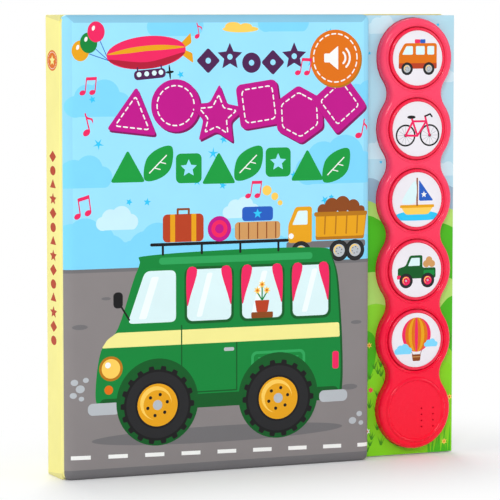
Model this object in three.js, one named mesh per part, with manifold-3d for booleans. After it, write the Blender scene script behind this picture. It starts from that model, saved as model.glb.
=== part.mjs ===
// A padded children's sound book that stands on its bottom edge.
// The spine faces -X, the front cover faces -Y, and the origin is the middle of the bottom edge.
// All sizes are in millimetres. Inside the book group, x runs from the spine's outer face,
// y runs back from the front cover's face, and z runs up from the bottom edge.
import * as THREE from 'three';
import { mergeVertices } from 'three/addons/utils/BufferGeometryUtils.js';
import Module from 'manifold-3d';

const wasm = await Module();
wasm.setup();

// Driving dimensions: the rest of the book's width and its height follow from the row of buttons
const BOOK_THICKNESS = 27.5;
const COVER_WIDTH = 170;
const STRIP_RECESS = 9;
const BUTTON_COUNT = 5;
const BUTTON_RADIUS = 16.2;

// Sheet materials
const BOARD = 2;
const FOAM = 2.8;
const WRAP = 0.4;
const STRIP_CARD = 0.6;
const PAPER_FIT = 0.3;
const GLUE = 0.05;

// Covers
const COVER_CLEARANCE = 0.3;
const COVER_CORNER = 2.5;
const ROLL_WIDTH = 5.5;
const ROLL_DEPTH = 3;
const ROLL_STEPS = 4;
const ROLL_CORNER = 0.5;
const TURN_IN = 4;
const SPINE_ROUND = 1.4;

// Pages
const LEAF_COUNT = 8;
const LEAF_GAP = 0.35;
const LEAF_GROOVE = 2.5;
const LEAF_CORNER = 3;
const PAGE_TRIM = 1;

// Bed beside the pages, which holds the sound module
const BED_GAP = 0.5;
const BED_EDGE = 0.5;
const STRIP_INNER_MARGIN = 7.4;
const STRIP_OUTER_MARGIN = 3.4;
const POCKET_FIT = 0.4;

// Module housing: a row of round lobes joined by narrower necks
const LOBE_RIM = 4.5;
const LOBE_SPACE = 2.4;
const LOBE_TOP_MARGIN = 1.9;
const LOBE_BOTTOM_MARGIN = 3.9;
const NECK_FILLET = 11;
const HOUSING_RISE = 5.5;
const HOUSING_DEPTH = 13;
const HOUSING_WALL = 1.6;
const HOUSING_PLATE = 1.8;
const HOUSING_ROUND = 2.6;
const HOUSING_ROUND_STEPS = 3;
const BASE_FLOOR = 1.6;

// Push buttons
const BUTTON_GAP = 0.4;
const BUTTON_PROUD = 0.8;
const BUTTON_TRAVEL = 1.2;
const BUTTON_ROUND = 1.1;
const BUTTON_ROUND_STEPS = 2;
const CAP_WALL = 1.6;
const CAP_DEPTH = 5.6;
const CAP_LIP = 1.3;
const CAP_LIP_HEIGHT = 1;
const STOP_CLEARANCE = 0.3;
const STEM_RADIUS = 2.5;
const DISC_RADIUS = 13.9;
const DISC_THICKNESS = 0.3;
const DISC_RECESS = 0.6;
const DISC_FIT = 0.3;

// Switches and their plungers
const SWITCH_SIDE = 6;
const SWITCH_HEIGHT = 3.5;
const SWITCH_FLOOR = 0.9;
const PLUNGER_RADIUS = 1.6;
const PLUNGER_RISE = 1.7;
const PLUNGER_CLEARANCE = 0.3;

// Circuit board and chip
const PCB_DEPTH = 11.5;
const PCB_THICKNESS = 1.2;
const PCB_WIDTH = 15;
const PCB_OVERHANG = 12;
const PCB_LOW_OVERHANG = 3;
const CHIP_RADIUS = 4;
const CHIP_HEIGHT = 1.4;

// Screws that join the two housing shells
const SCREW_NECKS = [1, 2, 5];
const SCREW_RADIUS = 0.9;
const SCREW_HEAD_RADIUS = 1.8;
const SCREW_HEAD_HEIGHT = 1.4;
const SCREW_LENGTH = 12;
const SCREW_FIT = 0.3;
const BOSS_WALL = 1.1;
const BOSS_OVERLAP = 0.3;
const POST_RADIUS = 1.6;

// Speaker behind the bottom lobe
const SPEAKER_RADIUS = 14.5;
const SPEAKER_RIM = 1.7;
const SPEAKER_RIM_DEPTH = 1;
const SPEAKER_BASKET_RADIUS = 10.5;
const SPEAKER_BASKET_DEPTH = 5.3;
const SPEAKER_METAL = 0.8;
const MAGNET_RADIUS = 8.5;
const MAGNET_HEIGHT = 4;
const CONE_THICKNESS = 0.5;
const CONE_FIT = 0.4;
const SEAT_WALL = 1.2;
const SEAT_HEIGHT = 3;
const SEAT_FIT = 0.5;
const BEAD_INSET = 0.6;
const BEAD_WIDTH = 1;
const BEAD_HEIGHT = 0.4;
const GRILLE_ROWS = 4;
const GRILLE_COLUMNS = 2;
const GRILLE_ROW_PITCH = 3.3;
const GRILLE_COLUMN_PITCH = 6.8;
const GRILLE_HOLE_RADIUS = 0.45;
const GRILLE_SHIFT_X = 7;
const GRILLE_SHIFT_Z = -4.4;
const SPEAKER_WIRE_RADIUS = 0.5;
const SPEAKER_WIRE_SPREAD = 4.5;
const SPEAKER_WIRE_SLACK = 2.2;
const SPEAKER_WIRE_STEPS = 14;

// Battery bay, which passes through the back cover behind the fourth button
const BAY_BUTTON = 4;
const CELL_COUNT = 3;
const CELL_RADIUS = 5.8;
const CELL_THICKNESS = 5.4;
const CELL_STEP_RADIUS = 4.6;
const CELL_STEP = 0.5;
const CELL_GAP = 0.8;
const CELL_FIT = 0.4;
const CONTACT_THICKNESS = 0.3;
const CONTACT_WIDTH = 6;
const CONTACT_TAB_WIDTH = 2;
const CONTACT_TAB_FIT = 0.3;
const BAY_WALL = 1.4;
const BAY_SETBACK = 0.2;
const DOOR_THICKNESS = 2;
const DOOR_MARGIN = 2.6;
const DOOR_TONGUE = 4;
const DOOR_FIT = 0.3;
const DOOR_CORNER = 2;
const DOOR_RIM = 1.7;
const DOOR_SCREW_DEPTH = 5;
const BAY_FIT = 0.4;

// Fineness of round stretches
const ARC_STEPS = 4;
const ROUND_SEGMENTS = 24;
const SMALL_SEGMENTS = 8;
const HOLE_SEGMENTS = 8;
const CUT_MARGIN = 1;

// Row of lobes and the book's width and height round it
const lobeRadius = BUTTON_RADIUS + BUTTON_GAP + LOBE_RIM;
const lobePitch = 2 * (BUTTON_RADIUS + CAP_LIP) + LOBE_SPACE;
const moduleX = COVER_WIDTH + BED_GAP + STRIP_INNER_MARGIN + lobeRadius;
const bookWidth = moduleX + lobeRadius + STRIP_OUTER_MARGIN + BED_EDGE;
const bookHeight = LOBE_BOTTOM_MARGIN + 2 * lobeRadius + BUTTON_COUNT * lobePitch + LOBE_TOP_MARGIN;

// Levels that follow from the sizes above
const paddingFront = WRAP + GLUE;
const paddingBack = paddingFront + FOAM;
const coverBoardFront = paddingBack + GLUE;
const coverBoardBack = coverBoardFront + BOARD;
const coverPaperFront = coverBoardBack + GLUE;
const coverThickness = coverPaperFront + WRAP;
const spineBoardFace = WRAP + GLUE;
const spineThickness = spineBoardFace + BOARD;
const backBoardBack = BOOK_THICKNESS - WRAP - GLUE;
const backBoardFront = backBoardBack - BOARD;
const backPaperBack = backBoardFront - GLUE;
const backPaperFront = backPaperBack - WRAP;
const blockFront = coverThickness + COVER_CLEARANCE;
const blockBack = backPaperFront - GLUE;
const cardBack = STRIP_RECESS + STRIP_CARD;

const housingFront = STRIP_RECESS - HOUSING_RISE;
const plateBack = housingFront + HOUSING_PLATE;
const housingSplit = housingFront + HOUSING_DEPTH;
const baseFloor = blockBack - BASE_FLOOR;
const topLobe = bookHeight - LOBE_TOP_MARGIN - lobeRadius;
const lobeZ = (n) => topLobe - (n - 1) * lobePitch;
const neckZ = (n) => (lobeZ(n) + lobeZ(n + 1)) / 2;
const speakerZ = lobeZ(BUTTON_COUNT + 1);

const capFront = housingFront - BUTTON_PROUD;
const pcbFront = housingFront + PCB_DEPTH;
const pcbBack = pcbFront + PCB_THICKNESS;
const switchFront = pcbFront - SWITCH_HEIGHT;
const plungerFront = switchFront - PLUNGER_RISE;
const plungerBack = pcbFront - SWITCH_FLOOR - BUTTON_TRAVEL - PLUNGER_CLEARANCE;

const screwHole = SCREW_RADIUS + SCREW_FIT;
const bossRadius = screwHole + BOSS_WALL;
const counterbore = SCREW_HEAD_RADIUS + SCREW_FIT;
const postRadius = counterbore + BOSS_WALL;
const screwSeat = baseFloor - SCREW_FIT;
const neckHalf = Math.sqrt((lobeRadius + NECK_FILLET) ** 2 - (lobePitch / 2) ** 2) - NECK_FILLET;
const screwOffset = neckHalf - HOUSING_WALL - bossRadius + BOSS_OVERLAP;
const beadRadius = lobeRadius - HOUSING_ROUND - BEAD_INSET;

const bayZ = lobeZ(BAY_BUTTON);
const bayFace = BOOK_THICKNESS - BAY_SETBACK;
const doorBack = bayFace - DOOR_THICKNESS;
const slotFloor = doorBack - CELL_THICKNESS - 2 * CONTACT_THICKNESS;
const bayBack = slotFloor - BAY_WALL;
const cellPitch = 2 * CELL_RADIUS + CELL_GAP;
const slotHalfLength = (CELL_COUNT * cellPitch - CELL_GAP) / 2 + CELL_FIT;
const slotHalfWidth = CELL_RADIUS + CELL_FIT;
const doorHalfLength = slotHalfLength + DOOR_TONGUE;
const doorHalfWidth = slotHalfWidth + DOOR_MARGIN;
const bayHalfLength = doorHalfLength + DOOR_FIT + DOOR_RIM;
const bayHalfWidth = doorHalfWidth + DOOR_FIT + DOOR_RIM;
const doorScrewZ = bayZ + slotHalfLength + DOOR_TONGUE / 2;

// Solid from a closed geometry, ready to be joined and cut.
function solid(geometry) {
  const bare = geometry.clone();
  bare.deleteAttribute('normal');
  bare.deleteAttribute('uv');
  const merged = mergeVertices(bare);
  return new wasm.Manifold(new wasm.Mesh({
    numProp: 3,
    vertProperties: merged.attributes.position.array,
    triVerts: new Uint32Array(merged.index.array),
  }));
}

// Geometry of a joined or cut solid.
function geometryOf(shape) {
  const mesh = shape.getMesh();
  const geometry = new THREE.BufferGeometry();
  geometry.setAttribute('position', new THREE.BufferAttribute(mesh.vertProperties, 3));
  geometry.setIndex(new THREE.BufferAttribute(mesh.triVerts, 1));
  geometry.computeVertexNormals();
  return geometry;
}

// Box between two corners.
function box([x0, x1], [y0, y1], [z0, z1]) {
  const geometry = new THREE.BoxGeometry(x1 - x0, y1 - y0, z1 - z0);
  return geometry.translate((x0 + x1) / 2, (y0 + y1) / 2, (z0 + z1) / 2);
}

// Outline of a rectangle in x and z with round corners, anticlockwise seen from the front.
function rectangle([x0, x1], [z0, z1], radius) {
  const corners = [
    [x1 - radius, z0 + radius, -0.5],
    [x1 - radius, z1 - radius, 0],
    [x0 + radius, z1 - radius, 0.5],
    [x0 + radius, z0 + radius, 1],
  ];
  return corners.flatMap(([x, z, turn]) => arc(x, z, radius, turn * Math.PI, (turn + 0.5) * Math.PI));
}

// Points along an arc, both ends included.
function arc(x, z, radius, from, to, steps = ARC_STEPS) {
  return Array.from({ length: steps + 1 }, (_, i) => {
    const angle = from + (to - from) * i / steps;
    return new THREE.Vector2(x + radius * Math.cos(angle), z + radius * Math.sin(angle));
  });
}

// Outline of the row of lobes about x = 0, moved inwards by inset.
function lobes(inset) {
  const radius = lobeRadius - inset;
  const fillet = NECK_FILLET + inset;
  const half = lobePitch / 2;
  const filletX = Math.sqrt((radius + fillet) ** 2 - half ** 2);
  const angle = Math.atan2(half, filletX);
  const last = BUTTON_COUNT + 1;
  const points = arc(0, lobeZ(last), radius, -Math.PI - angle, angle, 3 * ARC_STEPS);
  for (let n = last - 1; n >= 1; n--) {
    points.push(...arc(filletX, neckZ(n), fillet, Math.PI + angle, Math.PI - angle).slice(1));
    const end = n === 1 ? Math.PI + angle : angle;
    points.push(...arc(0, lobeZ(n), radius, -angle, end, n === 1 ? 3 * ARC_STEPS : ARC_STEPS).slice(1));
  }
  for (let n = 1; n < last; n++) {
    points.push(...arc(-filletX, neckZ(n), fillet, angle, -angle).slice(1));
    if (n + 1 < last) {
      points.push(...arc(0, lobeZ(n + 1), radius, Math.PI - angle, Math.PI + angle).slice(1));
    }
  }
  return points.slice(0, -1);
}

// Flat piece with an outline in x and z and an even thickness from y0 to y1.
function plate(points, [y0, y1]) {
  const shape = new THREE.Shape(points);
  const geometry = new THREE.ExtrudeGeometry(shape, { depth: y1 - y0, bevelEnabled: false });
  return geometry.rotateX(Math.PI / 2).translate(0, y1, 0);
}

// Closed surface through outlines with equally many points, listed from front to back.
function loft(outlines) {
  const count = outlines[0].points.length;
  const positions = outlines.flatMap(({ points, y }) => points.flatMap((p) => [p.x, y, p.y]));
  const index = [];
  for (let ring = 0; ring + 1 < outlines.length; ring++) {
    for (let i = 0; i < count; i++) {
      const next = (i + 1) % count;
      const front = ring * count;
      const back = front + count;
      index.push(front + i, back + i, front + next);
      index.push(front + next, back + i, back + next);
    }
  }
  const lastRing = (outlines.length - 1) * count;
  for (const [a, b, c] of THREE.ShapeUtils.triangulateShape(outlines[0].points, [])) {
    index.push(a, b, c);
  }
  for (const [a, b, c] of THREE.ShapeUtils.triangulateShape(outlines.at(-1).points, [])) {
    index.push(lastRing + a, lastRing + c, lastRing + b);
  }
  const geometry = new THREE.BufferGeometry();
  geometry.setAttribute('position', new THREE.Float32BufferAttribute(positions, 3));
  geometry.setIndex(index);
  geometry.computeVertexNormals();
  return geometry;
}

// Slab whose front edges roll back over the given width and depth, and whose back is square.
function roundedFront(outlineAt, [y0, y1], width, depth, steps) {
  const rings = Array.from({ length: steps + 1 }, (_, i) => {
    const angle = Math.PI / 2 * i / steps;
    return {
      points: outlineAt(width * (1 - Math.sin(angle))),
      y: y0 + depth * (1 - Math.cos(angle)),
    };
  });
  rings.push({ points: outlineAt(0), y: y1 });
  return loft(rings);
}

// Turned piece about the y axis, from a profile of [radius, y] points.
function turned(profile, segments = ROUND_SEGMENTS) {
  return new THREE.LatheGeometry(profile.map(([r, y]) => new THREE.Vector2(r, y)), segments);
}

// Turned rod from y0 to y1.
function rod(radius, [y0, y1], segments = SMALL_SEGMENTS) {
  return turned([[0, y0], [radius, y0], [radius, y1], [0, y1]], segments);
}

// Turned ring from y0 to y1.
function ring(inner, outer, [y0, y1], segments = ROUND_SEGMENTS) {
  return turned([[inner, y0], [outer, y0], [outer, y1], [inner, y1], [inner, y0]], segments);
}

function at(geometry, x, z) {
  return geometry.translate(x, 0, z);
}

function finish(color, roughness, metalness = 0) {
  return new THREE.MeshStandardMaterial({ color, roughness, metalness });
}

function addPiece(group, name, geometry, material) {
  const mesh = new THREE.Mesh(geometry, material);
  mesh.name = name;
  group.add(mesh);
}

const finishes = {
  skyPrint: finish(0x9ae1ff, 0.35),
  creamPrint: finish(0xf5ed9a, 0.35),
  stripPrint: finish(0xc2eaf6, 0.4),
  greyBoard: finish(0x9a948a, 0.9),
  foam: finish(0xf2f2ee, 0.9),
  paper: finish(0xf7f5ef, 0.6),
  redPlastic: finish(0xf83556, 0.3),
  darkRedPlastic: finish(0xc8102e, 0.4),
  blackPlastic: finish(0x1c1c1e, 0.5),
  whitePlastic: finish(0xe8e4ea, 0.4),
  greenBoard: finish(0x1f6b3a, 0.5),
  steel: finish(0xb8bbc0, 0.3, 1),
  brass: finish(0xc9a04a, 0.3, 1),
  magnet: finish(0x4a4c50, 0.5, 0.8),
  cone: finish(0x2b2b2e, 0.8),
  redWire: finish(0xc01f1f, 0.5),
  blackWire: finish(0x161616, 0.5),
};

// Outline of the front cover, moved inwards by inset, with corners that stay as round as they can.
function coverOutline(inset) {
  const across = [COVER_CLEARANCE + inset, COVER_WIDTH - inset];
  const corner = Math.max(COVER_CORNER - inset, ROLL_CORNER);
  return rectangle(across, [inset, bookHeight - inset], corner);
}

// Front cover: board and foam inside a printed wrap whose edges turn in round the board.
function frontCover() {
  const group = new THREE.Group();
  const rolled = (inset, levels, depth = ROLL_DEPTH) => roundedFront(
    (roll) => coverOutline(inset + roll), levels, ROLL_WIDTH, depth, ROLL_STEPS,
  );
  const inside = solid(rolled(WRAP, [WRAP, coverPaperFront]));
  const through = [coverBoardBack - CUT_MARGIN, coverThickness + CUT_MARGIN];
  const window = solid(plate(coverOutline(TURN_IN), through));
  const wrap = solid(rolled(0, [0, coverThickness])).subtract(inside).subtract(window);
  addPiece(group, 'front_wrap', geometryOf(wrap), finishes.skyPrint);

  const foam = rolled(WRAP + PAPER_FIT, [paddingFront, paddingBack], ROLL_DEPTH - PAPER_FIT);
  addPiece(group, 'front_padding', foam, finishes.foam);

  const board = plate(coverOutline(WRAP + PAPER_FIT), [coverBoardFront, coverBoardBack]);
  addPiece(group, 'front_board', board, finishes.greyBoard);

  const endpaper = plate(coverOutline(TURN_IN + PAPER_FIT), [coverPaperFront, coverThickness]);
  addPiece(group, 'front_endpaper', endpaper, finishes.paper);
  return group;
}

// Outline in x and y of the spine and the back cover together.
function caseOutline() {
  const shape = new THREE.Shape();
  shape.moveTo(0, blockFront);
  shape.lineTo(spineThickness, blockFront);
  shape.lineTo(spineThickness, backPaperFront);
  shape.lineTo(bookWidth, backPaperFront);
  shape.lineTo(bookWidth, BOOK_THICKNESS);
  shape.lineTo(SPINE_ROUND, BOOK_THICKNESS);
  shape.absarc(SPINE_ROUND, BOOK_THICKNESS - SPINE_ROUND, SPINE_ROUND, Math.PI / 2, Math.PI, false);
  return shape;
}

// Hole through the back cover for the battery bay.
function bayHole() {
  const across = [moduleX - bayHalfWidth - BAY_FIT, moduleX + bayHalfWidth + BAY_FIT];
  const along = [bayZ - bayHalfLength - BAY_FIT, bayZ + bayHalfLength + BAY_FIT];
  const through = [blockBack - CUT_MARGIN, BOOK_THICKNESS + CUT_MARGIN];
  return solid(plate(rectangle(across, along, DOOR_CORNER), through));
}

// Spine and back cover: boards inside one printed wrap.
function spineAndBack() {
  const group = new THREE.Group();
  const hole = bayHole();
  const wrapInside = [WRAP, bookHeight - WRAP];
  const spineLevels = [blockFront + WRAP, backBoardFront];
  const spineRoom = box([WRAP, spineThickness + CUT_MARGIN], spineLevels, wrapInside);
  const backRoom = box([WRAP, bookWidth - WRAP], [backPaperBack, BOOK_THICKNESS - WRAP], wrapInside);
  const window = box(
    [spineThickness, bookWidth - TURN_IN],
    [backPaperFront - CUT_MARGIN, backPaperBack + CUT_MARGIN],
    [TURN_IN, bookHeight - TURN_IN],
  );
  const outside = new THREE.ExtrudeGeometry(caseOutline(), {
    depth: bookHeight, bevelEnabled: false, curveSegments: ARC_STEPS,
  });
  const wrap = solid(outside).subtract(solid(spineRoom)).subtract(solid(backRoom))
    .subtract(solid(window)).subtract(hole);
  addPiece(group, 'case_wrap', geometryOf(wrap), finishes.creamPrint);

  const boardUp = [WRAP + PAPER_FIT, bookHeight - WRAP - PAPER_FIT];
  const spineBoardLevels = [blockFront + WRAP + PAPER_FIT, backPaperFront];
  const spineBoard = box([spineBoardFace, spineThickness], spineBoardLevels, boardUp);
  addPiece(group, 'spine_board', spineBoard, finishes.greyBoard);

  const boardAcross = [spineThickness + PAPER_FIT, bookWidth - WRAP - PAPER_FIT];
  const backBoard = solid(box(boardAcross, [backBoardFront, backBoardBack], boardUp)).subtract(hole);
  addPiece(group, 'back_board', geometryOf(backBoard), finishes.greyBoard);

  const endpaper = box(
    [spineThickness + PAPER_FIT, bookWidth - TURN_IN - PAPER_FIT],
    [backPaperFront, backPaperBack],
    [TURN_IN + PAPER_FIT, bookHeight - TURN_IN - PAPER_FIT],
  );
  addPiece(group, 'back_endpaper', geometryOf(solid(endpaper).subtract(hole)), finishes.paper);
  return group;
}

// Book block: thick board leaves with a thin groove between each two, joined at the spine.
function pages() {
  const upper = bookHeight - PAGE_TRIM;
  const boundEdge = spineThickness + GLUE;
  const foreEdge = COVER_WIDTH - PAGE_TRIM;
  const pitch = (blockBack - blockFront) / LEAF_COUNT;
  let block = solid(box(
    [boundEdge, foreEdge - LEAF_GROOVE],
    [blockFront + LEAF_GAP, blockBack - LEAF_GAP],
    [PAGE_TRIM + LEAF_GROOVE, upper - LEAF_GROOVE],
  ));
  for (let leaf = 0; leaf < LEAF_COUNT; leaf++) {
    const front = blockFront + leaf * pitch + (leaf > 0 ? LEAF_GAP / 2 : 0);
    const back = blockFront + (leaf + 1) * pitch - (leaf < LEAF_COUNT - 1 ? LEAF_GAP / 2 : 0);
    const outline = rectangle([boundEdge, foreEdge], [PAGE_TRIM, upper], LEAF_CORNER);
    block = block.add(solid(plate(outline, [front, back])));
  }
  return geometryOf(block);
}

// Greyboard bed with a pocket for the module, and the printed card on top of it.
function moduleBed() {
  const group = new THREE.Group();
  const outline = rectangle(
    [COVER_WIDTH + BED_GAP, bookWidth - BED_EDGE],
    [BED_EDGE, bookHeight - BED_EDGE],
    COVER_CORNER,
  );
  const through = [STRIP_RECESS - CUT_MARGIN, blockBack + CUT_MARGIN];
  const pocket = solid(at(plate(lobes(-POCKET_FIT), through), moduleX, 0));
  const bed = solid(plate(outline, [cardBack + GLUE, blockBack])).subtract(pocket);
  const card = solid(plate(outline, [STRIP_RECESS, cardBack])).subtract(pocket);
  addPiece(group, 'module_bed', geometryOf(bed), finishes.greyBoard);
  addPiece(group, 'strip_card', geometryOf(card), finishes.stripPrint);
  return group;
}

// Both sides of each neck that has screws.
function screwPlaces() {
  return SCREW_NECKS.flatMap((n) => [-screwOffset, screwOffset].map((x) => ({ x, z: neckZ(n) })));
}

// Front shell: lobed tray with button holes, speaker grille, screw bosses and speaker seat.
function housingShell() {
  let shell = solid(roundedFront(
    lobes, [housingFront, housingSplit], HOUSING_ROUND, HOUSING_ROUND, HOUSING_ROUND_STEPS,
  ));
  shell = shell.subtract(solid(plate(lobes(HOUSING_WALL), [plateBack, housingSplit + CUT_MARGIN])));
  const overlap = HOUSING_PLATE / 2;
  for (const { x, z } of screwPlaces()) {
    shell = shell.add(solid(at(rod(bossRadius, [plateBack - overlap, housingSplit]), x, z)));
    shell = shell.subtract(solid(at(rod(screwHole, [plateBack, housingSplit + CUT_MARGIN]), x, z)));
  }
  const seatInner = SPEAKER_RADIUS + SEAT_FIT;
  const seat = ring(seatInner, seatInner + SEAT_WALL, [plateBack - overlap, plateBack + SEAT_HEIGHT]);
  const bead = ring(beadRadius - BEAD_WIDTH, beadRadius, [housingFront - BEAD_HEIGHT, plateBack - overlap]);
  shell = shell.add(solid(at(seat, 0, speakerZ))).add(solid(at(bead, 0, speakerZ)));
  const through = [housingFront - CUT_MARGIN, plateBack + CUT_MARGIN];
  for (let n = 1; n <= BUTTON_COUNT; n++) {
    shell = shell.subtract(solid(at(rod(BUTTON_RADIUS + BUTTON_GAP, through, ROUND_SEGMENTS), 0, lobeZ(n))));
  }
  for (let row = 0; row < GRILLE_ROWS; row++) {
    for (let column = 0; column < GRILLE_COLUMNS; column++) {
      const x = GRILLE_SHIFT_X + (column - (GRILLE_COLUMNS - 1) / 2) * GRILLE_COLUMN_PITCH;
      const z = speakerZ + GRILLE_SHIFT_Z + (row - (GRILLE_ROWS - 1) / 2) * GRILLE_ROW_PITCH;
      shell = shell.subtract(solid(at(rod(GRILLE_HOLE_RADIUS, through, HOLE_SEGMENTS), x, z)));
    }
  }
  return geometryOf(shell);
}

// Block of the battery bay, with its slot and the recess for its door.
function bayBlock() {
  const across = (half) => [-half, half];
  const along = (half) => [bayZ - half, bayZ + half];
  const block = plate(rectangle(across(bayHalfWidth), along(bayHalfLength), DOOR_CORNER), [bayBack, bayFace]);
  const recess = plate(
    rectangle(across(doorHalfWidth + DOOR_FIT), along(doorHalfLength + DOOR_FIT), DOOR_CORNER),
    [doorBack, bayFace + CUT_MARGIN],
  );
  const slot = box(across(slotHalfWidth), [slotFloor, bayFace], along(slotHalfLength));
  const screwEnd = doorBack - DOOR_SCREW_DEPTH - SCREW_FIT;
  const pilot = at(rod(screwHole, [screwEnd, bayFace]), 0, doorScrewZ);
  let bay = solid(block).subtract(solid(recess)).subtract(solid(slot)).subtract(solid(pilot));
  for (const z of contactPlaces()) {
    const half = CONTACT_TAB_WIDTH / 2 + CONTACT_TAB_FIT;
    const thin = CONTACT_THICKNESS / 2 + CONTACT_TAB_FIT;
    const through = [bayBack - CUT_MARGIN, slotFloor + CUT_MARGIN];
    bay = bay.subtract(solid(box([-half, half], through, [z - thin, z + thin])));
  }
  return bay;
}

// Heights of the two contacts' tabs, at the first and the last cell.
function contactPlaces() {
  return [cellZ(0), cellZ(CELL_COUNT - 1)];
}

function cellZ(i) {
  return bayZ + (i - (CELL_COUNT - 1) / 2) * cellPitch;
}

// Back shell: lobed tray with screw posts, board posts and the battery bay.
function housingBase() {
  const outside = solid(plate(lobes(0), [housingSplit, blockBack]));
  const room = solid(plate(lobes(HOUSING_WALL), [housingSplit - CUT_MARGIN, baseFloor]));
  let base = outside.subtract(room);
  const overlap = BASE_FLOOR / 2;
  for (const { x, z } of screwPlaces()) {
    base = base.add(solid(at(rod(postRadius, [housingSplit, baseFloor + overlap]), x, z)));
    base = base.subtract(solid(at(rod(screwHole, [housingSplit - CUT_MARGIN, blockBack]), x, z)));
    const head = [screwSeat - SCREW_HEAD_HEIGHT, blockBack + CUT_MARGIN];
    base = base.subtract(solid(at(rod(counterbore, head), x, z)));
  }
  for (const n of SCREW_NECKS) {
    base = base.add(solid(at(rod(POST_RADIUS, [pcbBack, baseFloor + overlap]), 0, neckZ(n))));
  }
  base = base.subtract(solid(plate(
    rectangle([-bayHalfWidth, bayHalfWidth], [bayZ - bayHalfLength, bayZ + bayHalfLength], DOOR_CORNER),
    [baseFloor - CUT_MARGIN, blockBack + CUT_MARGIN],
  ))).add(bayBlock());
  for (const side of [-1, 1]) {
    const z = bayZ + side * (slotHalfLength + DOOR_TONGUE / 2);
    base = base.add(solid(at(rod(POST_RADIUS, [pcbBack, bayBack + BAY_WALL / 2]), 0, z)));
  }
  return geometryOf(base);
}

// Button cap: shallow round cap with a recess for its picture, a lip below the plate and a stem.
function buttonCap() {
  const capBack = capFront + CAP_DEPTH;
  const lipFront = plateBack + STOP_CLEARANCE;
  const capInside = capFront + DISC_RECESS + CAP_WALL;
  const inner = BUTTON_RADIUS - CAP_WALL;
  const round = Array.from({ length: BUTTON_ROUND_STEPS + 1 }, (_, i) => {
    const angle = Math.PI / 2 * i / BUTTON_ROUND_STEPS;
    return [
      BUTTON_RADIUS - BUTTON_ROUND * (1 - Math.sin(angle)),
      capFront + BUTTON_ROUND * (1 - Math.cos(angle)),
    ];
  });
  return turned([
    [0, capFront + DISC_RECESS],
    [DISC_RADIUS + DISC_FIT, capFront + DISC_RECESS],
    [DISC_RADIUS + DISC_FIT, capFront],
    ...round,
    [BUTTON_RADIUS, lipFront],
    [BUTTON_RADIUS + CAP_LIP, lipFront],
    [BUTTON_RADIUS + CAP_LIP, lipFront + CAP_LIP_HEIGHT],
    [BUTTON_RADIUS, lipFront + CAP_LIP_HEIGHT],
    [BUTTON_RADIUS, capBack],
    [inner, capBack],
    [inner, capInside],
    [STEM_RADIUS, capInside],
    [STEM_RADIUS, plungerFront],
    [0, plungerFront],
  ]);
}

// Button with its picture disc and the plunger of its switch, which all move together.
function addButton(group, n) {
  const discBack = capFront + DISC_RECESS;
  addPiece(group, `button_cap_${n}`, buttonCap(), finishes.redPlastic);
  const disc = rod(DISC_RADIUS, [discBack - DISC_THICKNESS, discBack], ROUND_SEGMENTS);
  addPiece(group, `picture_disc_${n}`, disc, finishes.whitePlastic);
  addPiece(group, `switch_plunger_${n}`, rod(PLUNGER_RADIUS, [plungerFront, plungerBack]), finishes.blackPlastic);
}

// Switch body with a bore in which the plunger slides.
function switchBody() {
  const half = SWITCH_SIDE / 2;
  const bore = [switchFront - CUT_MARGIN, pcbFront - SWITCH_FLOOR];
  const body = solid(box([-half, half], [switchFront, pcbFront], [-half, half]));
  return geometryOf(body.subtract(solid(rod(PLUNGER_RADIUS + PLUNGER_CLEARANCE, bore))));
}

function addCircuit(group) {
  const half = PCB_WIDTH / 2;
  const low = neckZ(BUTTON_COUNT) - PCB_LOW_OVERHANG;
  const board = box([-half, half], [pcbFront, pcbBack], [low, lobeZ(1) + PCB_OVERHANG]);
  addPiece(group, 'circuit_board', board, finishes.greenBoard);
  const chip = turned([
    [0, pcbFront - CHIP_HEIGHT],
    [CHIP_RADIUS * 0.7, pcbFront - CHIP_HEIGHT * 0.8],
    [CHIP_RADIUS, pcbFront],
    [0, pcbFront],
  ], SMALL_SEGMENTS);
  addPiece(group, 'sound_chip', at(chip, 0, neckZ(2)), finishes.blackPlastic);
  for (let n = 1; n <= BUTTON_COUNT; n++) {
    addPiece(group, `switch_body_${n}`, at(switchBody(), 0, lobeZ(n)), finishes.whitePlastic);
  }
}

// Speaker: basket, cone and magnet, in the seat behind the grille.
function addSpeaker(group) {
  const front = plateBack;
  const rimBack = front + SPEAKER_RIM_DEPTH;
  const basketBack = front + SPEAKER_BASKET_DEPTH;
  const inner = SPEAKER_RADIUS - SPEAKER_RIM;
  const basket = turned([
    [0, basketBack - SPEAKER_METAL],
    [SPEAKER_BASKET_RADIUS - SPEAKER_METAL, basketBack - SPEAKER_METAL],
    [inner, rimBack],
    [inner, front],
    [SPEAKER_RADIUS, front],
    [SPEAKER_RADIUS, rimBack],
    [SPEAKER_BASKET_RADIUS, basketBack - SPEAKER_METAL],
    [SPEAKER_BASKET_RADIUS, basketBack],
    [0, basketBack],
  ]);
  addPiece(group, 'speaker_basket', at(basket, 0, speakerZ), finishes.steel);

  const coneRim = inner - CONE_FIT;
  const coneHub = coneRim / 3;
  const rimFront = front + CONE_THICKNESS;
  const hubFront = basketBack - SPEAKER_METAL - CONE_FIT - CONE_THICKNESS;
  const cone = turned([
    [0, hubFront - CONE_FIT],
    [coneHub, hubFront],
    [coneRim, rimFront],
    [coneRim, rimFront + CONE_THICKNESS],
    [coneHub, hubFront + CONE_THICKNESS],
    [0, hubFront + CONE_THICKNESS],
  ]);
  addPiece(group, 'speaker_cone', at(cone, 0, speakerZ), finishes.cone);

  const magnet = rod(MAGNET_RADIUS, [basketBack, basketBack + MAGNET_HEIGHT], ROUND_SEGMENTS);
  addPiece(group, 'speaker_magnet', at(magnet, 0, speakerZ), finishes.magnet);
}

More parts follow.
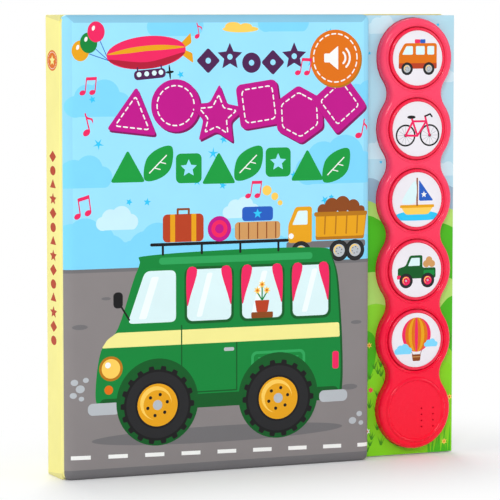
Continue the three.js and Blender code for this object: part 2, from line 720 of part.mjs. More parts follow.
// Wire from the board's back down to the speaker basket, held inside the housing all the way.
function speakerWire(side) {
  const x = side * SPEAKER_WIRE_SPREAD;
  const slack = SPEAKER_WIRE_SLACK;
  const boardEnd = neckZ(BUTTON_COUNT) - PCB_LOW_OVERHANG + slack;
  const basketBack = plateBack + SPEAKER_BASKET_DEPTH;
  const basketEnd = speakerZ + MAGNET_RADIUS + SPEAKER_WIRE_RADIUS;
  const route = new THREE.CatmullRomCurve3([
    new THREE.Vector3(x, pcbBack + PAPER_FIT, boardEnd),
    new THREE.Vector3(x, pcbBack + slack, boardEnd - slack / 2),
    new THREE.Vector3(x, pcbBack + slack, boardEnd - 2 * slack),
    new THREE.Vector3(x, basketBack + slack, basketEnd),
    new THREE.Vector3(x, basketBack + PAPER_FIT, basketEnd),
  ]);
  const section = new THREE.Shape(arc(0, 0, SPEAKER_WIRE_RADIUS, 0, 2 * Math.PI, HOLE_SEGMENTS).slice(0, -1));
  return new THREE.ExtrudeGeometry(section, {
    steps: SPEAKER_WIRE_STEPS, extrudePath: route, bevelEnabled: false,
  });
}

// Screw with its head at the back.
function screw(headFront, length) {
  return turned([
    [0, headFront - length],
    [SCREW_RADIUS, headFront - length],
    [SCREW_RADIUS, headFront],
    [SCREW_HEAD_RADIUS, headFront],
    [SCREW_HEAD_RADIUS, headFront + SCREW_HEAD_HEIGHT],
    [0, headFront + SCREW_HEAD_HEIGHT],
  ], SMALL_SEGMENTS);
}

// Button cell with its stepped negative side to the front or to the back.
function cell(flipped) {
  const front = slotFloor + CONTACT_THICKNESS;
  const back = front + CELL_THICKNESS;
  const profile = [
    [0, 0],
    [CELL_STEP_RADIUS, 0],
    [CELL_STEP_RADIUS, CELL_STEP],
    [CELL_RADIUS, CELL_STEP],
    [CELL_RADIUS, CELL_THICKNESS],
    [0, CELL_THICKNESS],
  ];
  const placed = profile.map(([r, y]) => [r, flipped ? back - y : front + y]);
  return turned(flipped ? placed.reverse() : placed);
}

// Battery cells, the contacts that join them, and the door with its screw.
function addBatteries(group) {
  for (let i = 0; i < CELL_COUNT; i++) {
    addPiece(group, `button_cell_${i + 1}`, at(cell(i % 2 === 1), 0, cellZ(i)), finishes.steel);
  }
  const half = CONTACT_WIDTH / 2;
  const floorLevels = [slotFloor, slotFloor + CONTACT_THICKNESS];
  contactPlaces().forEach((z, i) => {
    const inner = i === 0 ? half : half + (CELL_COUNT > 2 ? cellPitch : 0);
    const spring = box([-half, half], floorLevels, [z - (i === 0 ? half : inner), z + half]);
    const tabHalf = CONTACT_TAB_WIDTH / 2;
    const thin = CONTACT_THICKNESS / 2;
    const tab = box([-tabHalf, tabHalf], [pcbBack + PAPER_FIT, floorLevels[1]], [z - thin, z + thin]);
    const contact = geometryOf(solid(spring).add(solid(tab)));
    addPiece(group, `battery_contact_${i + 1}`, contact, finishes.brass);
  });
  const link = box(
    [-half, half],
    [doorBack - CONTACT_THICKNESS, doorBack],
    [cellZ(0) - half, cellZ(1) + half],
  );
  addPiece(group, 'battery_link', link, finishes.brass);

  const headFront = bayFace - PAPER_FIT - SCREW_HEAD_HEIGHT;
  const headRoom = solid(at(rod(counterbore, [headFront, bayFace + CUT_MARGIN]), 0, doorScrewZ));
  const shankRoom = solid(at(rod(screwHole, [doorBack - CUT_MARGIN, bayFace]), 0, doorScrewZ));
  const door = plate(
    rectangle([-doorHalfWidth, doorHalfWidth], [bayZ - doorHalfLength, bayZ + doorHalfLength], DOOR_CORNER),
    [doorBack, bayFace],
  );
  const cut = solid(door).subtract(headRoom).subtract(shankRoom);
  addPiece(group, 'battery_door', geometryOf(cut), finishes.darkRedPlastic);
  addPiece(group, 'battery_door_screw', at(screw(headFront, DOOR_SCREW_DEPTH), 0, doorScrewZ), finishes.steel);
}

// Sound module in its own group, whose x = 0 is the lobes' middle line.
function soundModule() {
  const group = new THREE.Group();
  group.position.x = moduleX;
  addPiece(group, 'module_housing', housingShell(), finishes.redPlastic);
  addPiece(group, 'module_base', housingBase(), finishes.darkRedPlastic);
  for (let n = 1; n <= BUTTON_COUNT; n++) {
    const button = new THREE.Group();
    button.position.z = lobeZ(n);
    addButton(button, n);
    group.add(button);
  }
  addCircuit(group);
  addSpeaker(group);
  addBatteries(group);
  addPiece(group, 'speaker_wire_red', speakerWire(-1), finishes.redWire);
  addPiece(group, 'speaker_wire_black', speakerWire(1), finishes.blackWire);
  screwPlaces().forEach(({ x, z }, i) => {
    const placed = at(screw(screwSeat - SCREW_HEAD_HEIGHT, SCREW_LENGTH), x, z);
    addPiece(group, `housing_screw_${i + 1}`, placed, finishes.steel);
  });
  return group;
}

const book = new THREE.Group();
book.position.set(-bookWidth / 2, -BOOK_THICKNESS / 2, 0);
book.add(frontCover());
book.add(spineAndBack());
addPiece(book, 'pages', pages(), finishes.paper);
book.add(moduleBed());
book.add(soundModule());

const part = new THREE.Group();
part.add(book);
export default part;
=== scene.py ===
"""Looks of a padded children's sound book, built over its CAD frame."""
import math
import random

import bpy
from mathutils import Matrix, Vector
from mathutils.geometry import delaunay_2d_cdt


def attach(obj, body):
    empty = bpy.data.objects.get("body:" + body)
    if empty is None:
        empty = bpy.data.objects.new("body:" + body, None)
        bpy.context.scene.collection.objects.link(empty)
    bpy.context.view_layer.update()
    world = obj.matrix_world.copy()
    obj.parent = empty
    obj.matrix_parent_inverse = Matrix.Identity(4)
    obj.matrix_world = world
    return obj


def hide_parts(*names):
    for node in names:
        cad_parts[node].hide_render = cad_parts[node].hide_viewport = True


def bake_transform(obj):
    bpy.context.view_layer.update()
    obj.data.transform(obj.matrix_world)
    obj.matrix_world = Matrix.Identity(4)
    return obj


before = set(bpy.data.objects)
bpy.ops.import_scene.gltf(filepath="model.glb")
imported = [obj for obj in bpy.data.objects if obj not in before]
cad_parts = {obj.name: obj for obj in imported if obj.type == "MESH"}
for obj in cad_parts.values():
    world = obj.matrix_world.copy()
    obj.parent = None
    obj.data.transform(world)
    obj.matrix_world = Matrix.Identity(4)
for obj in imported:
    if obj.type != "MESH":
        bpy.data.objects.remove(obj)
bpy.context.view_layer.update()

# Book coordinates are in millimetres: x from the spine, y back from the cover's face, z up.
MM = 0.001
ORIGIN = Vector((112.0, 13.75, 0.0))
WIDTH = 224.0
HEIGHT = 235.0
THICKNESS = 27.5

COVER_LEFT = 0.3
COVER_RIGHT = 170.0
COVER_INNER = 5.4
COVER_BACK = 5.75
ROLL = 5.5
ROLL_DEPTH = 3.0
ROLL_POWER = 3.5
ROLL_STEPS = 8
CROWN = 0.8
PAPER = 0.4
TURN_IN = 4.0
BLEED_LEFT = -5
BLEED_RIGHT = 175
KERB_TOP = 5.2
ROAD_EDGE = 105.4

SPINE_INNER = 2.45
BLOCK_FRONT = 6.05
BLOCK_BACK = 24.6
SPINE_ROUND = 1.4
CASE_ROUND = 0.6
CASE_BOARD = 2.9
END_PAPER_BOX = (4.6, 4.3, 165.7, 230.7)
HINGE_MARGIN = 4.0
HINGE_THICK = 0.1
HINGE_ROWS = 24

LEAF_COUNT = 8
LEAF_GAP = 0.35
LEAF_BACK = 24.55
LEAF_BOX = (2.5, 1.0, 169.0, 234.0)
CORE_BOX = (5.0, 3.5, 166.5, 231.5)
CORE_INSET = 0.9
CORE_BACK = 23.6
STRIP_BOX = (170.5, 0.5, 223.5, 234.5)
STRIP_FRONT = 9.0
STRIP_BACK = 9.6
BED_BACK = 24.55
BED_BOARDS = 7
BOARD_GAP = 0.04
STRIP_GAP = 0.05

MODULE_X = 199.0
LOBE_COUNT = 6
LOBE_RADIUS = 21.1
LOBE_PITCH = 37.4
NECK_FILLET = 11.0
LOBE_Z = [25.0 + LOBE_PITCH * i for i in range(LOBE_COUNT)]
NECK_REACH = math.sqrt((LOBE_RADIUS + NECK_FILLET) ** 2 - (LOBE_PITCH / 2) ** 2)
NECK_TURN = math.atan2(LOBE_PITCH / 2, NECK_REACH)
HOUSING_FRONT = 3.5
HOUSING_ROUND = 2.6
HOUSING_INNER = 5.3
HOUSING_BACK = 16.5
HOUSING_WALL = 1.6
HOUSING_ROWS = (9.0, 12.8)
TUBE_FRONT = 5.2
BOSS_NECKS = (0, 3, 4)
BOSS_OFFSET = 11.49
BOSS_RADII = (1.2, 2.3)
SEAT_RADII = (15.0, 16.2)
SEAT_BACK = 8.3
WELL_RADIUS = 16.6
WELL_ROUND = 0.7
# Radius, half width and height of the beads round the speaker and the wells
SPEAKER_BEAD = (16.5, 1.15, 0.9)
WELL_BEAD = (17.75, 0.5, 0.5)
DISH_DEPTH = 0.25
HOLE_RADIUS = 0.45
HOLE_ROWS = 4
HOLE_COLUMNS = 2
HOLE_STEP_X = 6.8
HOLE_STEP_Z = 3.3
HOLES_X = MODULE_X + 7
HOLES_Z = LOBE_Z[0] - 4.4
DISC_RADIUS = 14.5
DISC_EDGE = 0.26
DISC_FRONT = 3.0
DISC_DROP = 0.1
DISC_BACK = 3.29
DISC_SCALE = 1.12
BAY_X = MODULE_X
BAY_Z = LOBE_Z[2]
BAY_HALF_X = 11.2
BAY_HALF_Z = 25.0
DOOR_HALF_X = 8.8
DOOR_HALF_Z = 22.6
DOOR_FACE = 27.3
DOOR_BACK = 25.3
DOOR_ROUND = 0.5
RIB_COUNT = 6
RIB_PITCH = 2.2
RIB_LOW = BAY_Z - 15.5
RIB_HALF_X = 5.6
RIB_HALF_Z = 0.6
RIB_ROUND = 0.3
RIB_TOP = 27.62
RIB_DROP = 0.32
RIB_BACK = 27.0
SCREW_Z = BAY_Z + 20.6
SCREW_RADIUS = 1.8
SCREW_HOLE = 2.1
SCREW_FACE = 27.0
SCREW_DROP = 0.35
SCREW_BACK = 25.6
RECESS_RADIUS = 1.5
RECESS_FLOOR = 26.5
RECESS_BACK = 26.1

INKS = {
    "sky": (0.604, 0.882, 1.0),
    "cloud": (0.490, 0.839, 0.980),
    "mist": (0.790, 0.935, 1.0),
    "star_blue": (0.173, 0.773, 0.961),
    "road": (0.533, 0.510, 0.510),
    "kerb": (0.443, 0.435, 0.443),
    "white": (0.965, 0.965, 0.955),
    "cream": (0.962, 0.930, 0.580),
    # Painted shade: darker cream for the spine's bevelled top and bottom ends.
    "cream_shade": (0.890, 0.862, 0.565),
    # Painted shade: darker sky for the cover's rolled sides and top edge.
    "sky_edge": (0.575, 0.845, 0.955),
    "sky_top": (0.535, 0.775, 0.880),
    "magenta": (0.749, 0.0, 0.537),
    "magenta_dark": (0.50, 0.0, 0.36),
    "purple": (0.294, 0.106, 0.310),
    "letter_green": (0.043, 0.604, 0.235),
    "orange": (0.878, 0.439, 0.0),
    "crimson": (0.941, 0.125, 0.373),
    "crimson_dark": (0.70, 0.06, 0.20),
    "amber": (0.910, 0.639, 0.047),
    "amber_dark": (0.72, 0.46, 0.03),
    "yellow": (1.0, 0.812, 0.357),
    "green": (0.0, 0.518, 0.212),
    "green_dark": (0.0, 0.345, 0.122),
    "green_light": (0.16, 0.64, 0.34),
    "black": (0.055, 0.055, 0.060),
    "tyre": (0.13, 0.13, 0.14),
    "glass": (0.86, 0.955, 0.965),
    "glass_shine": (0.95, 0.99, 0.99),
    "silver": (0.72, 0.74, 0.76),
    "brown": (0.545, 0.271, 0.075),
    "tan": (0.82, 0.60, 0.36),
    "brick": (0.72, 0.24, 0.10),
    "hill_blue": (0.584, 0.710, 0.788),
    "hill_light": (0.690, 0.875, 0.430),
    "hill_green": (0.540, 0.850, 0.170),
    "grass": (0.520, 0.850, 0.100),
    "grass_dark": (0.26, 0.58, 0.08),
    "grass_deep": (0.290, 0.730, 0.080),
    "strip_sky": (0.705, 0.865, 0.925),
    "strip_cloud": (0.80, 0.915, 0.955),
    "disc": (0.925, 0.910, 0.935),
    "blue": (0.13, 0.36, 0.75),
    "page": (0.955, 0.945, 0.915),
    "page_core": (0.80, 0.775, 0.72),
    "board": (0.56, 0.53, 0.49),
}
GLOSS = {"page": 0.66, "page_core": 0.85, "board": 0.85}


# Materials

def node(tree, kind, inputs=(), **settings):
    """New node; inputs pairs a socket with a value or with another node's output."""
    made = tree.nodes.new("ShaderNode" + kind)
    for key, value in settings.items():
        setattr(made, key, value)
    for socket, value in inputs:
        if isinstance(value, bpy.types.NodeSocket):
            tree.links.new(value, made.inputs[socket])
        else:
            made.inputs[socket].default_value = value
    return made


def material(name, roughness, coat=0.0, coat_roughness=0.03, specular=0.5, metallic=0.0):
    """New node material with its Principled shader."""
    made = bpy.data.materials.new(name)
    made.use_nodes = True
    shader = made.node_tree.nodes["Principled BSDF"]
    shader.inputs["Roughness"].default_value = roughness
    shader.inputs["Coat Weight"].default_value = coat
    shader.inputs["Coat Roughness"].default_value = coat_roughness
    shader.inputs["Specular IOR Level"].default_value = specular
    shader.inputs["Metallic"].default_value = metallic
    return made, made.node_tree, shader


def noise(tree, scale, detail=3.0, stretch=(1, 1, 1)):
    """Noise value over object space in metres."""
    place = node(tree, "TexCoord").outputs["Object"]
    stretched = node(tree, "Mapping", [("Vector", place), ("Scale", stretch)]).outputs["Vector"]
    inputs = [("Vector", stretched), ("Scale", scale), ("Detail", detail)]
    return node(tree, "TexNoise", inputs).outputs["Fac"]


def book_height(tree):
    """0 at the book's foot, 1 at its top."""
    place = node(tree, "TexCoord").outputs["Object"]
    up = node(tree, "SeparateXYZ", [("Vector", place)]).outputs["Z"]
    return node(tree, "MapRange", [("Value", up), ("From Max", HEIGHT * MM)]).outputs["Result"]


def linear(colour):
    """Linear values of an sRGB colour, with alpha."""
    return *(c / 12.92 if c <= 0.04045 else ((c + 0.055) / 1.055) ** 2.4 for c in colour), 1.0


def ramp(tree, source, stops):
    """Colour ramp over a value; stops are (place, sRGB colour)."""
    made = node(tree, "ValToRGB", [("Fac", source)])
    elements = made.color_ramp.elements
    while len(elements) < len(stops):
        elements.new(0.5)
    for element, (place, colour) in zip(elements, stops):
        element.position = place
        element.color = linear(colour)
    return made.outputs["Color"]


def bump(tree, source, depth_mm, strength, under=None):
    inputs = [("Height", source), ("Distance", depth_mm * MM), ("Strength", strength)]
    if under:
        inputs.append(("Normal", under))
    return node(tree, "Bump", inputs).outputs["Normal"]


def shade(colour, factor):
    return tuple(min(1.0, c * factor) for c in colour)


def surface(name, colour, gloss, reliefs, **finish):
    """Material whose colour, roughness and relief follow noises, each given as noise()'s numbers.

    colour is (noise, stops), gloss is (noise, low, high), each relief is (noise, depth, strength).
    """
    field, low, high = gloss
    made, tree, shader = material(name, (low + high) / 2, **finish)
    source = book_height(tree) if colour[0] is None else noise(tree, *colour[0])
    tree.links.new(ramp(tree, source, colour[1]), shader.inputs["Base Color"])
    # A noise stays near its middle, so its middle part is spread over the range.
    spread = node(tree, "MapRange", [("Value", noise(tree, *field)), ("From Min", 0.3), ("From Max", 0.7),
                                     ("To Min", low), ("To Max", high)])
    tree.links.new(spread.outputs["Result"], shader.inputs["Roughness"])
    normal = None
    for field, depth_mm, strength in reliefs:
        normal = bump(tree, noise(tree, *field), depth_mm, strength, normal)
    tree.links.new(normal, shader.inputs["Normal"])
    return made


def print_material(name):
    """Ink on laminated paper: slight mottle, fine grain and a soft gloss."""
    colour = INKS[name]
    gloss = GLOSS.get(name, 0.58)
    return surface("ink_" + name, ((60.0, 2.0), [(0.25, shade(colour, 0.985)), (0.75, shade(colour, 1.005))]),
                   ((140.0, 2.0), gloss - 0.03, gloss + 0.05),
                   [((2600.0, 2.0), 0.004, 0.12), ((45.0, 1.0), 0.05, 0.35)],
                   coat=0.0 if name in GLOSS else 0.08, coat_roughness=0.3, specular=0.2)


def plastic_material(name, colour, roughness, coat=0.0):
    """Moulded plastic with faint flow marks and a fine orange-peel surface."""
    return surface(name, ((35.0, 3.0, (1, 1, 0.4)), [(0.3, shade(colour, 0.94)), (0.7, colour)]),
                   ((220.0,), roughness - 0.06, roughness + 0.06), [((900.0, 2.0), 0.02, 0.4)],
                   coat=coat, specular=0.35)


def housing_painted_sheen_material():
    """Red shell with a painted sheen: lighter at the top of the book and deeper towards its foot."""
    # Painted sheen: the ramp runs from deep red at the foot to a paler, pinker red at the top.
    stops = [(0.0, (0.99, 0.0, 0.16)), (0.3, (0.97, 0.06, 0.24)), (0.6, (0.985, 0.25, 0.39)),
             (1.0, (0.99, 0.28, 0.42))]
    return surface("housing_red_painted_sheen", (None, stops), ((260.0,), 0.20, 0.32), [((700.0, 2.0), 0.02, 0.4)],
                   coat=0.32, coat_roughness=0.13, specular=0.1)


def metal_material(name, colour, roughness):
    """Metal with fine drawn marks."""
    grain = (240.0, 4.0, (1, 1, 12))
    return surface(name, (grain, [(0.3, shade(colour, 0.85)), (0.7, colour)]),
                   (grain, roughness - 0.08, roughness + 0.1), [(grain, 0.01, 0.3)], metallic=1.0)


def fibre_material(name, colour, depth=0.08, scale=500.0, contrast=0.86):
    """Raw greyboard, paper or foam with visible fibres or pores."""
    fibres = (scale, 5.0)
    return surface(name, (fibres, [(0.3, shade(colour, contrast)), (0.7, shade(colour, 1.04))]),
                   (fibres, 0.8, 0.95), [(fibres, depth, 0.6)])


def circuit_material():
    """Green lacquered board with fine copper-coloured tracks under the lacquer."""
    made, tree, shader = material("circuit_board", 0.35, coat=0.4)
    place = node(tree, "TexCoord").outputs["Object"]
    tracks = node(tree, "TexBrick", [
        ("Vector", place), ("Scale", 260.0), ("Mortar Size", 0.06), ("Color1", linear((0.05, 0.33, 0.16))),
        ("Color2", linear((0.04, 0.28, 0.14))), ("Mortar", linear((0.30, 0.55, 0.22)))])
    tree.links.new(tracks.outputs["Color"], shader.inputs["Base Color"])
    tree.links.new(bump(tree, tracks.outputs["Fac"], 0.03, 0.5), shader.inputs["Normal"])
    return made


MATERIALS = {}
FINISHES = {
    "housing": housing_painted_sheen_material,
    "cap": lambda: plastic_material("cap_red", (0.97, 0.13, 0.29), 0.26, 0.12),
    "base": lambda: plastic_material("base_red", (0.62, 0.04, 0.13), 0.45),
    "steel": lambda: metal_material("steel", (0.78, 0.78, 0.80), 0.28),
    # Painted shade: steel coloured dark for the floor of the screw's recess.
    "steel_dark": lambda: metal_material("steel_recess_painted_shade", (0.28, 0.28, 0.30), 0.45),
}


def ink(name):
    """Material of an ink or finish, made once."""
    if name not in MATERIALS:
        MATERIALS[name] = FINISHES[name]() if name in FINISHES else print_material(name)
    return MATERIALS[name]


# Flat shapes, as lists of (x, z)

def ellipse(x, z, rx, rz=None, tilt=0.0, n=40):
    rz = rx if rz is None else rz
    c, s = math.cos(math.radians(tilt)), math.sin(math.radians(tilt))
    turns = [2 * math.pi * i / n for i in range(n)]
    flat = [(rx * math.cos(t), rz * math.sin(t)) for t in turns]
    return [(x + a * c - b * s, z + a * s + b * c) for a, b in flat]


def arc(x, z, r, start, end, n=10):
    turns = [math.radians(start + (end - start) * i / n) for i in range(n + 1)]
    return [(x + r * math.cos(t), z + r * math.sin(t)) for t in turns]


def rounded(x0, z0, x1, z1, r, n=6):
    """Rectangle with round corners, anticlockwise."""
    corners = [(x1 - r, z0 + r, -90), (x1 - r, z1 - r, 0), (x0 + r, z1 - r, 90), (x0 + r, z0 + r, 180)]
    return [p for x, z, start in corners for p in arc(x, z, r, start, start + 90, n)]


def star(x, z, outer, inner, points=5, turn=90.0):
    turns = [math.radians(turn + 180 * i / points) for i in range(points * 2)]
    radii = [outer, inner] * points
    return [(x + r * math.cos(t), z + r * math.sin(t)) for r, t in zip(radii, turns)]


def polygon(x, z, r, sides, turn=90.0):
    return arc(x, z, r, turn, turn + 360, sides)[:-1]


def softened(points, radius, n=4):
    """The polygon with its corners rounded by about that radius."""
    made = []
    count = len(points)
    for i, corner in enumerate(points):
        here = Vector(corner)
        before = Vector(points[i - 1]) - here
        after = Vector(points[(i + 1) % count]) - here
        reach = min(radius, before.length * 0.45, after.length * 0.45)
        a = here + before.normalized() * reach
        b = here + after.normalized() * reach
        for t in (k / n for k in range(n + 1)):
            made.append(tuple(a * (1 - t) ** 2 + here * 2 * t * (1 - t) + b * t ** 2))
    return made


def smooth(points, n=6, closed=True):
    """Curve through the points."""
    count = len(points)
    made = []
    for i in range(count if closed else count - 1):
        picks = [(i + k) % count if closed else max(0, min(count - 1, i + k)) for k in (-1, 0, 1, 2)]
        p0, p1, p2, p3 = (Vector(points[pick]) for pick in picks)
        for t in (k / n for k in range(n)):
            square = (2 * p0 - 5 * p1 + 4 * p2 - p3) * t * t
            cube = (3 * p1 - p0 - 3 * p2 + p3) * t ** 3
            made.append(tuple(0.5 * (2 * p1 + (p2 - p0) * t + square + cube)))
    return made if closed else made + [tuple(points[-1])]


def capsule(a, b, r, n=6):
    """Thick line with round ends."""
    turn = math.degrees(math.atan2(b[1] - a[1], b[0] - a[0]))
    return arc(b[0], b[1], r, turn - 90, turn + 90, n) + arc(a[0], a[1], r, turn + 90, turn + 270, n)


def closed(points):
    return points + points[:1]


def pairs(points):
    """Each point with the next one, round the closed outline."""
    return list(zip(points, closed(points)[1:]))


def area_of(points):
    """Twice the area, negative where the outline runs clockwise."""
    return sum(a[0] * b[1] - b[0] * a[1] for a, b in pairs(points))


def anticlockwise(points):
    return points if area_of(points) > 0 else points[::-1]


def dense(points, step=3.0):
    """The closed outline with no edge longer than step."""
    made = []
    for a, b in pairs(points):
        parts = max(1, math.ceil(math.dist(a, b) / step))
        made += [(a[0] + (b[0] - a[0]) * i / parts, a[1] + (b[1] - a[1]) * i / parts) for i in range(parts)]
    return made


def mirrored(points):
    return [(-x, z) for x, z in points]


def moved(points, x, z):
    return [(a + x, b + z) for a, b in points]


class Art:
    """Flat picture: shapes of one ink each, later ones on top."""

    def __init__(self, shapes=()):
        self.shapes = list(shapes)

    def add(self, name, *outlines):
        for outline in outlines:
            self.shapes.append((name, anticlockwise(list(outline))))

    def oval(self, name, *numbers, n=40):
        self.add(name, ellipse(*numbers, n=n))

    def box(self, name, *numbers):
        self.add(name, rounded(*numbers))

    def soft(self, name, points, radius):
        self.add(name, softened(points, radius))

    def curve(self, name, points, n=6):
        self.add(name, smooth(points, n))

    def line(self, name, points, width):
        for a, b in zip(points, points[1:]):
            self.add(name, capsule(a, b, width / 2))

    def dashes(self, name, points, width, dash, gap):
        """Dashed line along a path."""
        left, drawing, start = dash, True, Vector(points[0])
        for target in (Vector(p) for p in points[1:]):
            while (target - start).length > left:
                end = start + (target - start).normalized() * left
                if drawing:
                    self.add(name, capsule(start, end, width / 2, 3))
                start, drawing = end, not drawing
                left = dash if drawing else gap
            if drawing and (target - start).length > 0.01:
                self.add(name, capsule(start, target, width / 2, 3))
            left -= (target - start).length
            start = target

    def place(self, other, x, z, scale=1.0, turn=0.0):
        c, s = math.cos(math.radians(turn)) * scale, math.sin(math.radians(turn)) * scale
        for name, points in other.shapes:
            self.add(name, [(x + a * c - b * s, z + a * s + b * c) for a, b in points])

    def hill(self, name, floor, tops):
        """Ground with a wavy top through those points and straight sides."""
        self.add(name, smooth(tops, 8, False) + [(tops[-1][0], floor), (tops[0][0], floor)])

    def clouds(self, name, places):
        """Scalloped clouds with a flat foot, each at (x, z, width)."""
        for x, z, width in places:
            unit = width / 20
            for a, b, r in ((-7, 1.8, 3.2), (-3.2, 4.2, 4.2), (2.2, 5.0, 4.8), (6.8, 2.4, 3.6)):
                self.oval(name, x + a * unit, z + b * unit, r * unit, n=26)
            self.add(name, moved(rounded(-9.4 * unit, -1.2 * unit, 9.6 * unit, 3.2 * unit, 2 * unit), x, z))

    def sign(self, kind, x, z, rim, face, scale, n):
        """A button's picture in a crimson ring."""
        self.oval("crimson", x, z, rim, n=n)
        self.oval("disc", x, z, face, n=n)
        self.place(Art(disc_art(kind)), x, z, scale)


# Meshes

class Piece:
    """Collects faces in book coordinates and turns them into one object."""

    def __init__(self, name):
        self.name = name
        self.points = []
        self.faces = []
        self.inks = []
        self.seen = {}

    def vertex(self, point):
        key = tuple(round(c, 4) for c in point)
        if key not in self.seen:
            self.seen[key] = len(self.points)
            self.points.append(key)
        return self.seen[key]

    def face(self, corners, name):
        ids = list(dict.fromkeys(self.vertex(corner) for corner in corners))
        if len(ids) > 2:
            self.faces.append(ids)
            self.inks.append(name)

    def lathe(self, profile, x, z, name, n=96):
        """Turned piece about y; the profile runs from the front's centre outwards and back."""
        rings = [[(a, y, b) for a, b in ellipse(x, z, r, n=n)] for r, y in profile]
        for inner, outer in zip(rings, rings[1:]):
            for (a, b), (c, d) in zip(pairs(inner), pairs(outer)):
                self.face([a, c, d, b], name)

    def finish(self, body, replaced=(), slot=None, angle=38.0):
        mesh = bpy.data.meshes.new(self.name)
        mesh.from_pydata([((Vector(p) - ORIGIN) * MM)[:] for p in self.points], [], self.faces)
        names = sorted(set(self.inks))
        for name in names:
            mesh.materials.append(ink(name))
        mesh.polygons.foreach_set("material_index", [names.index(i) for i in self.inks])
        mesh.shade_smooth()
        mesh.set_sharp_from_angle(angle=math.radians(angle))
        mesh.validate()
        obj = bpy.data.objects.new(self.name, mesh)
        bpy.context.collection.objects.link(obj)
        if body:
            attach(obj, body)
        if replaced:
            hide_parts(*replaced)
        return obj


def cut(outline, holes=(), art=(), base="white", rings=(), points=()):
    """Triangles of an outline with holes, split along a picture's shapes: (points, triangles, inks)."""
    flat, edges = [], []

    def take(loop):
        start = len(flat)
        flat.extend(loop)
        return list(range(start, len(flat)))

    faces = [take(anticlockwise(list(loop))) for loop in (outline, *holes)]
    first = len(faces)
    faces += [take(dense(shape)) for _, shape in art]
    for ring in rings:
        edges += pairs(take(ring))
    flat.extend(points)
    result = delaunay_2d_cdt([Vector(p) for p in flat], edges, faces, 1, 1e-4, True)
    kept, inks = [], []
    for triangle, owners in zip(result[2], result[5]):
        if 0 not in owners or any(0 < o < first for o in owners):
            continue
        top = max(owners)
        kept.append(list(triangle))
        inks.append(base if top < first else art[top - first][0])
    return [tuple(p) for p in result[0]], kept, inks


def loops_of(triangles):
    """Boundary loops of the triangles, each a list of (a, b, owner); the material is on the left."""
    owner = {edge: t for t, triangle in enumerate(triangles) for edge in pairs(triangle)}
    after = {a: (b, t) for (a, b), t in owner.items() if (b, a) not in owner}
    loops = []
    while after:
        start = a = next(iter(after))
        loop = []
        while a in after:
            b, t = after.pop(a)
            loop.append((a, b, t))
            a = b
        if a == start:
            loops.append(loop)
    return loops


def sheet(piece, flat, front, outer, inner=(), back=None, edge=None, back_ink="board"):
    """Front surface, its edges and its back.

    outer and inner are the levels that the outline and the holes pass on their way back, as functions of x
    and z. The back closes the last level, or follows back(x, z). edge is a function that gives a wall's ink.
    """
    points, triangles, inks = flat
    for triangle, name in zip(triangles, inks):
        piece.face([front(*points[i]) for i in triangle], name)
    ends = {}
    outlines = []
    for loop in loops_of(triangles):
        corners = [points[a] for a, _, _ in loop]
        area = area_of(corners)
        outlines.append((area, corners))
        levels = [front, *(outer if area > 0 or not inner else inner)]
        for a, b, t in loop:
            p, q = points[a], points[b]
            for upper, lower in zip(levels, levels[1:]):
                piece.face([upper(*p), lower(*p), lower(*q), upper(*q)], edge(p) if edge else inks[t])
            ends[key_of(p)] = levels[-1](*p)
    if back:
        for triangle, name in zip(triangles, inks):
            piece.face([back(*points[i]) for i in reversed(triangle)], back_ink)
        return
    outlines.sort(key=lambda item: -item[0])
    points, triangles, _ = cut(outlines[0][1], [corners for _, corners in outlines[1:]])
    for triangle in triangles:
        keys = [key_of(points[i]) for i in reversed(triangle)]
        if all(key in ends for key in keys):
            piece.face([ends[key] for key in keys], back_ink)


def key_of(point, digits=5):
    return tuple(round(c, digits) for c in point)


def level(y, side=1):
    """Flat level at that depth; side -1 for an outline that was mirrored to be seen from behind."""
    return lambda x, z: (side * x, y, z)


def grid(x0, z0, x1, z1, step):
    across = max(1, round((x1 - x0) / step))
    up = max(1, round((z1 - z0) / step))
    return [(x0 + (x1 - x0) * (i + 0.5 * (j % 2)) / across, z0 + (z1 - z0) * j / up)
            for i in range(across) for j in range(1, up)]


def fall(u):
    """How far a round edge has dropped, as a part of its radius, where u of it has passed."""
    u = max(0.0, min(1.0, u))
    return 1 - math.sqrt(1 - u * u)


# Pictures

def note(double=False):
    """Music note about 10 units high."""
    art = Art()
    art.oval("crimson", 0, 0, 2.1, 1.55, 25, n=18)
    art.line("crimson", [(1.75, 0.6), (1.75, 9.4)], 0.7)
    if double:
        art.oval("crimson", 6.4, 0.9, 2.1, 1.55, 25, n=18)
        art.line("crimson", [(8.15, 1.5), (8.15, 10.4)], 0.7)
        art.add("crimson", [(1.4, 9.9), (8.5, 10.9), (8.5, 8.9), (1.4, 7.9)])
    else:
        art.curve("crimson", [(1.4, 9.8), (2.4, 7.6), (4.8, 6.0), (4.4, 3.6), (3.9, 5.5), (1.6, 6.9)], 4)
    return art


def wheel(radius, hub="amber", lugs=0):
    """Wheel with bolts round its hub, and lugs round its tyre where it has any."""
    art = Art()
    lug = ((0.9, -1.9), (1.1, -1.3), (1.1, 1.3), (0.9, 1.9))
    for t in (2 * math.pi * i / lugs for i in range(lugs)):
        side = Vector((-math.sin(t), math.cos(t)))
        out = Vector((math.cos(t), math.sin(t))) * radius
        art.soft("black", [tuple(out * far + side * wide) for far, wide in lug], 0.5)
    for name, part, n in (("black", 1, 56), ("tyre", 0.93, 56), ("black", 0.66, 44), (hub, 0.60, 44)):
        art.oval(name, 0, 0, radius * part, n=n)
    art.oval("yellow", -radius * 0.05, radius * 0.06, radius * 0.47, n=36)
    art.oval(hub, 0, 0, radius * 0.42, n=36)
    for x, z in arc(0, 0, radius * 0.3, 15, 375, 6)[:-1]:
        art.oval("black", x, z, radius * 0.05, n=12)
    art.oval("silver", 0, 0, radius * 0.14, n=20)
    return art


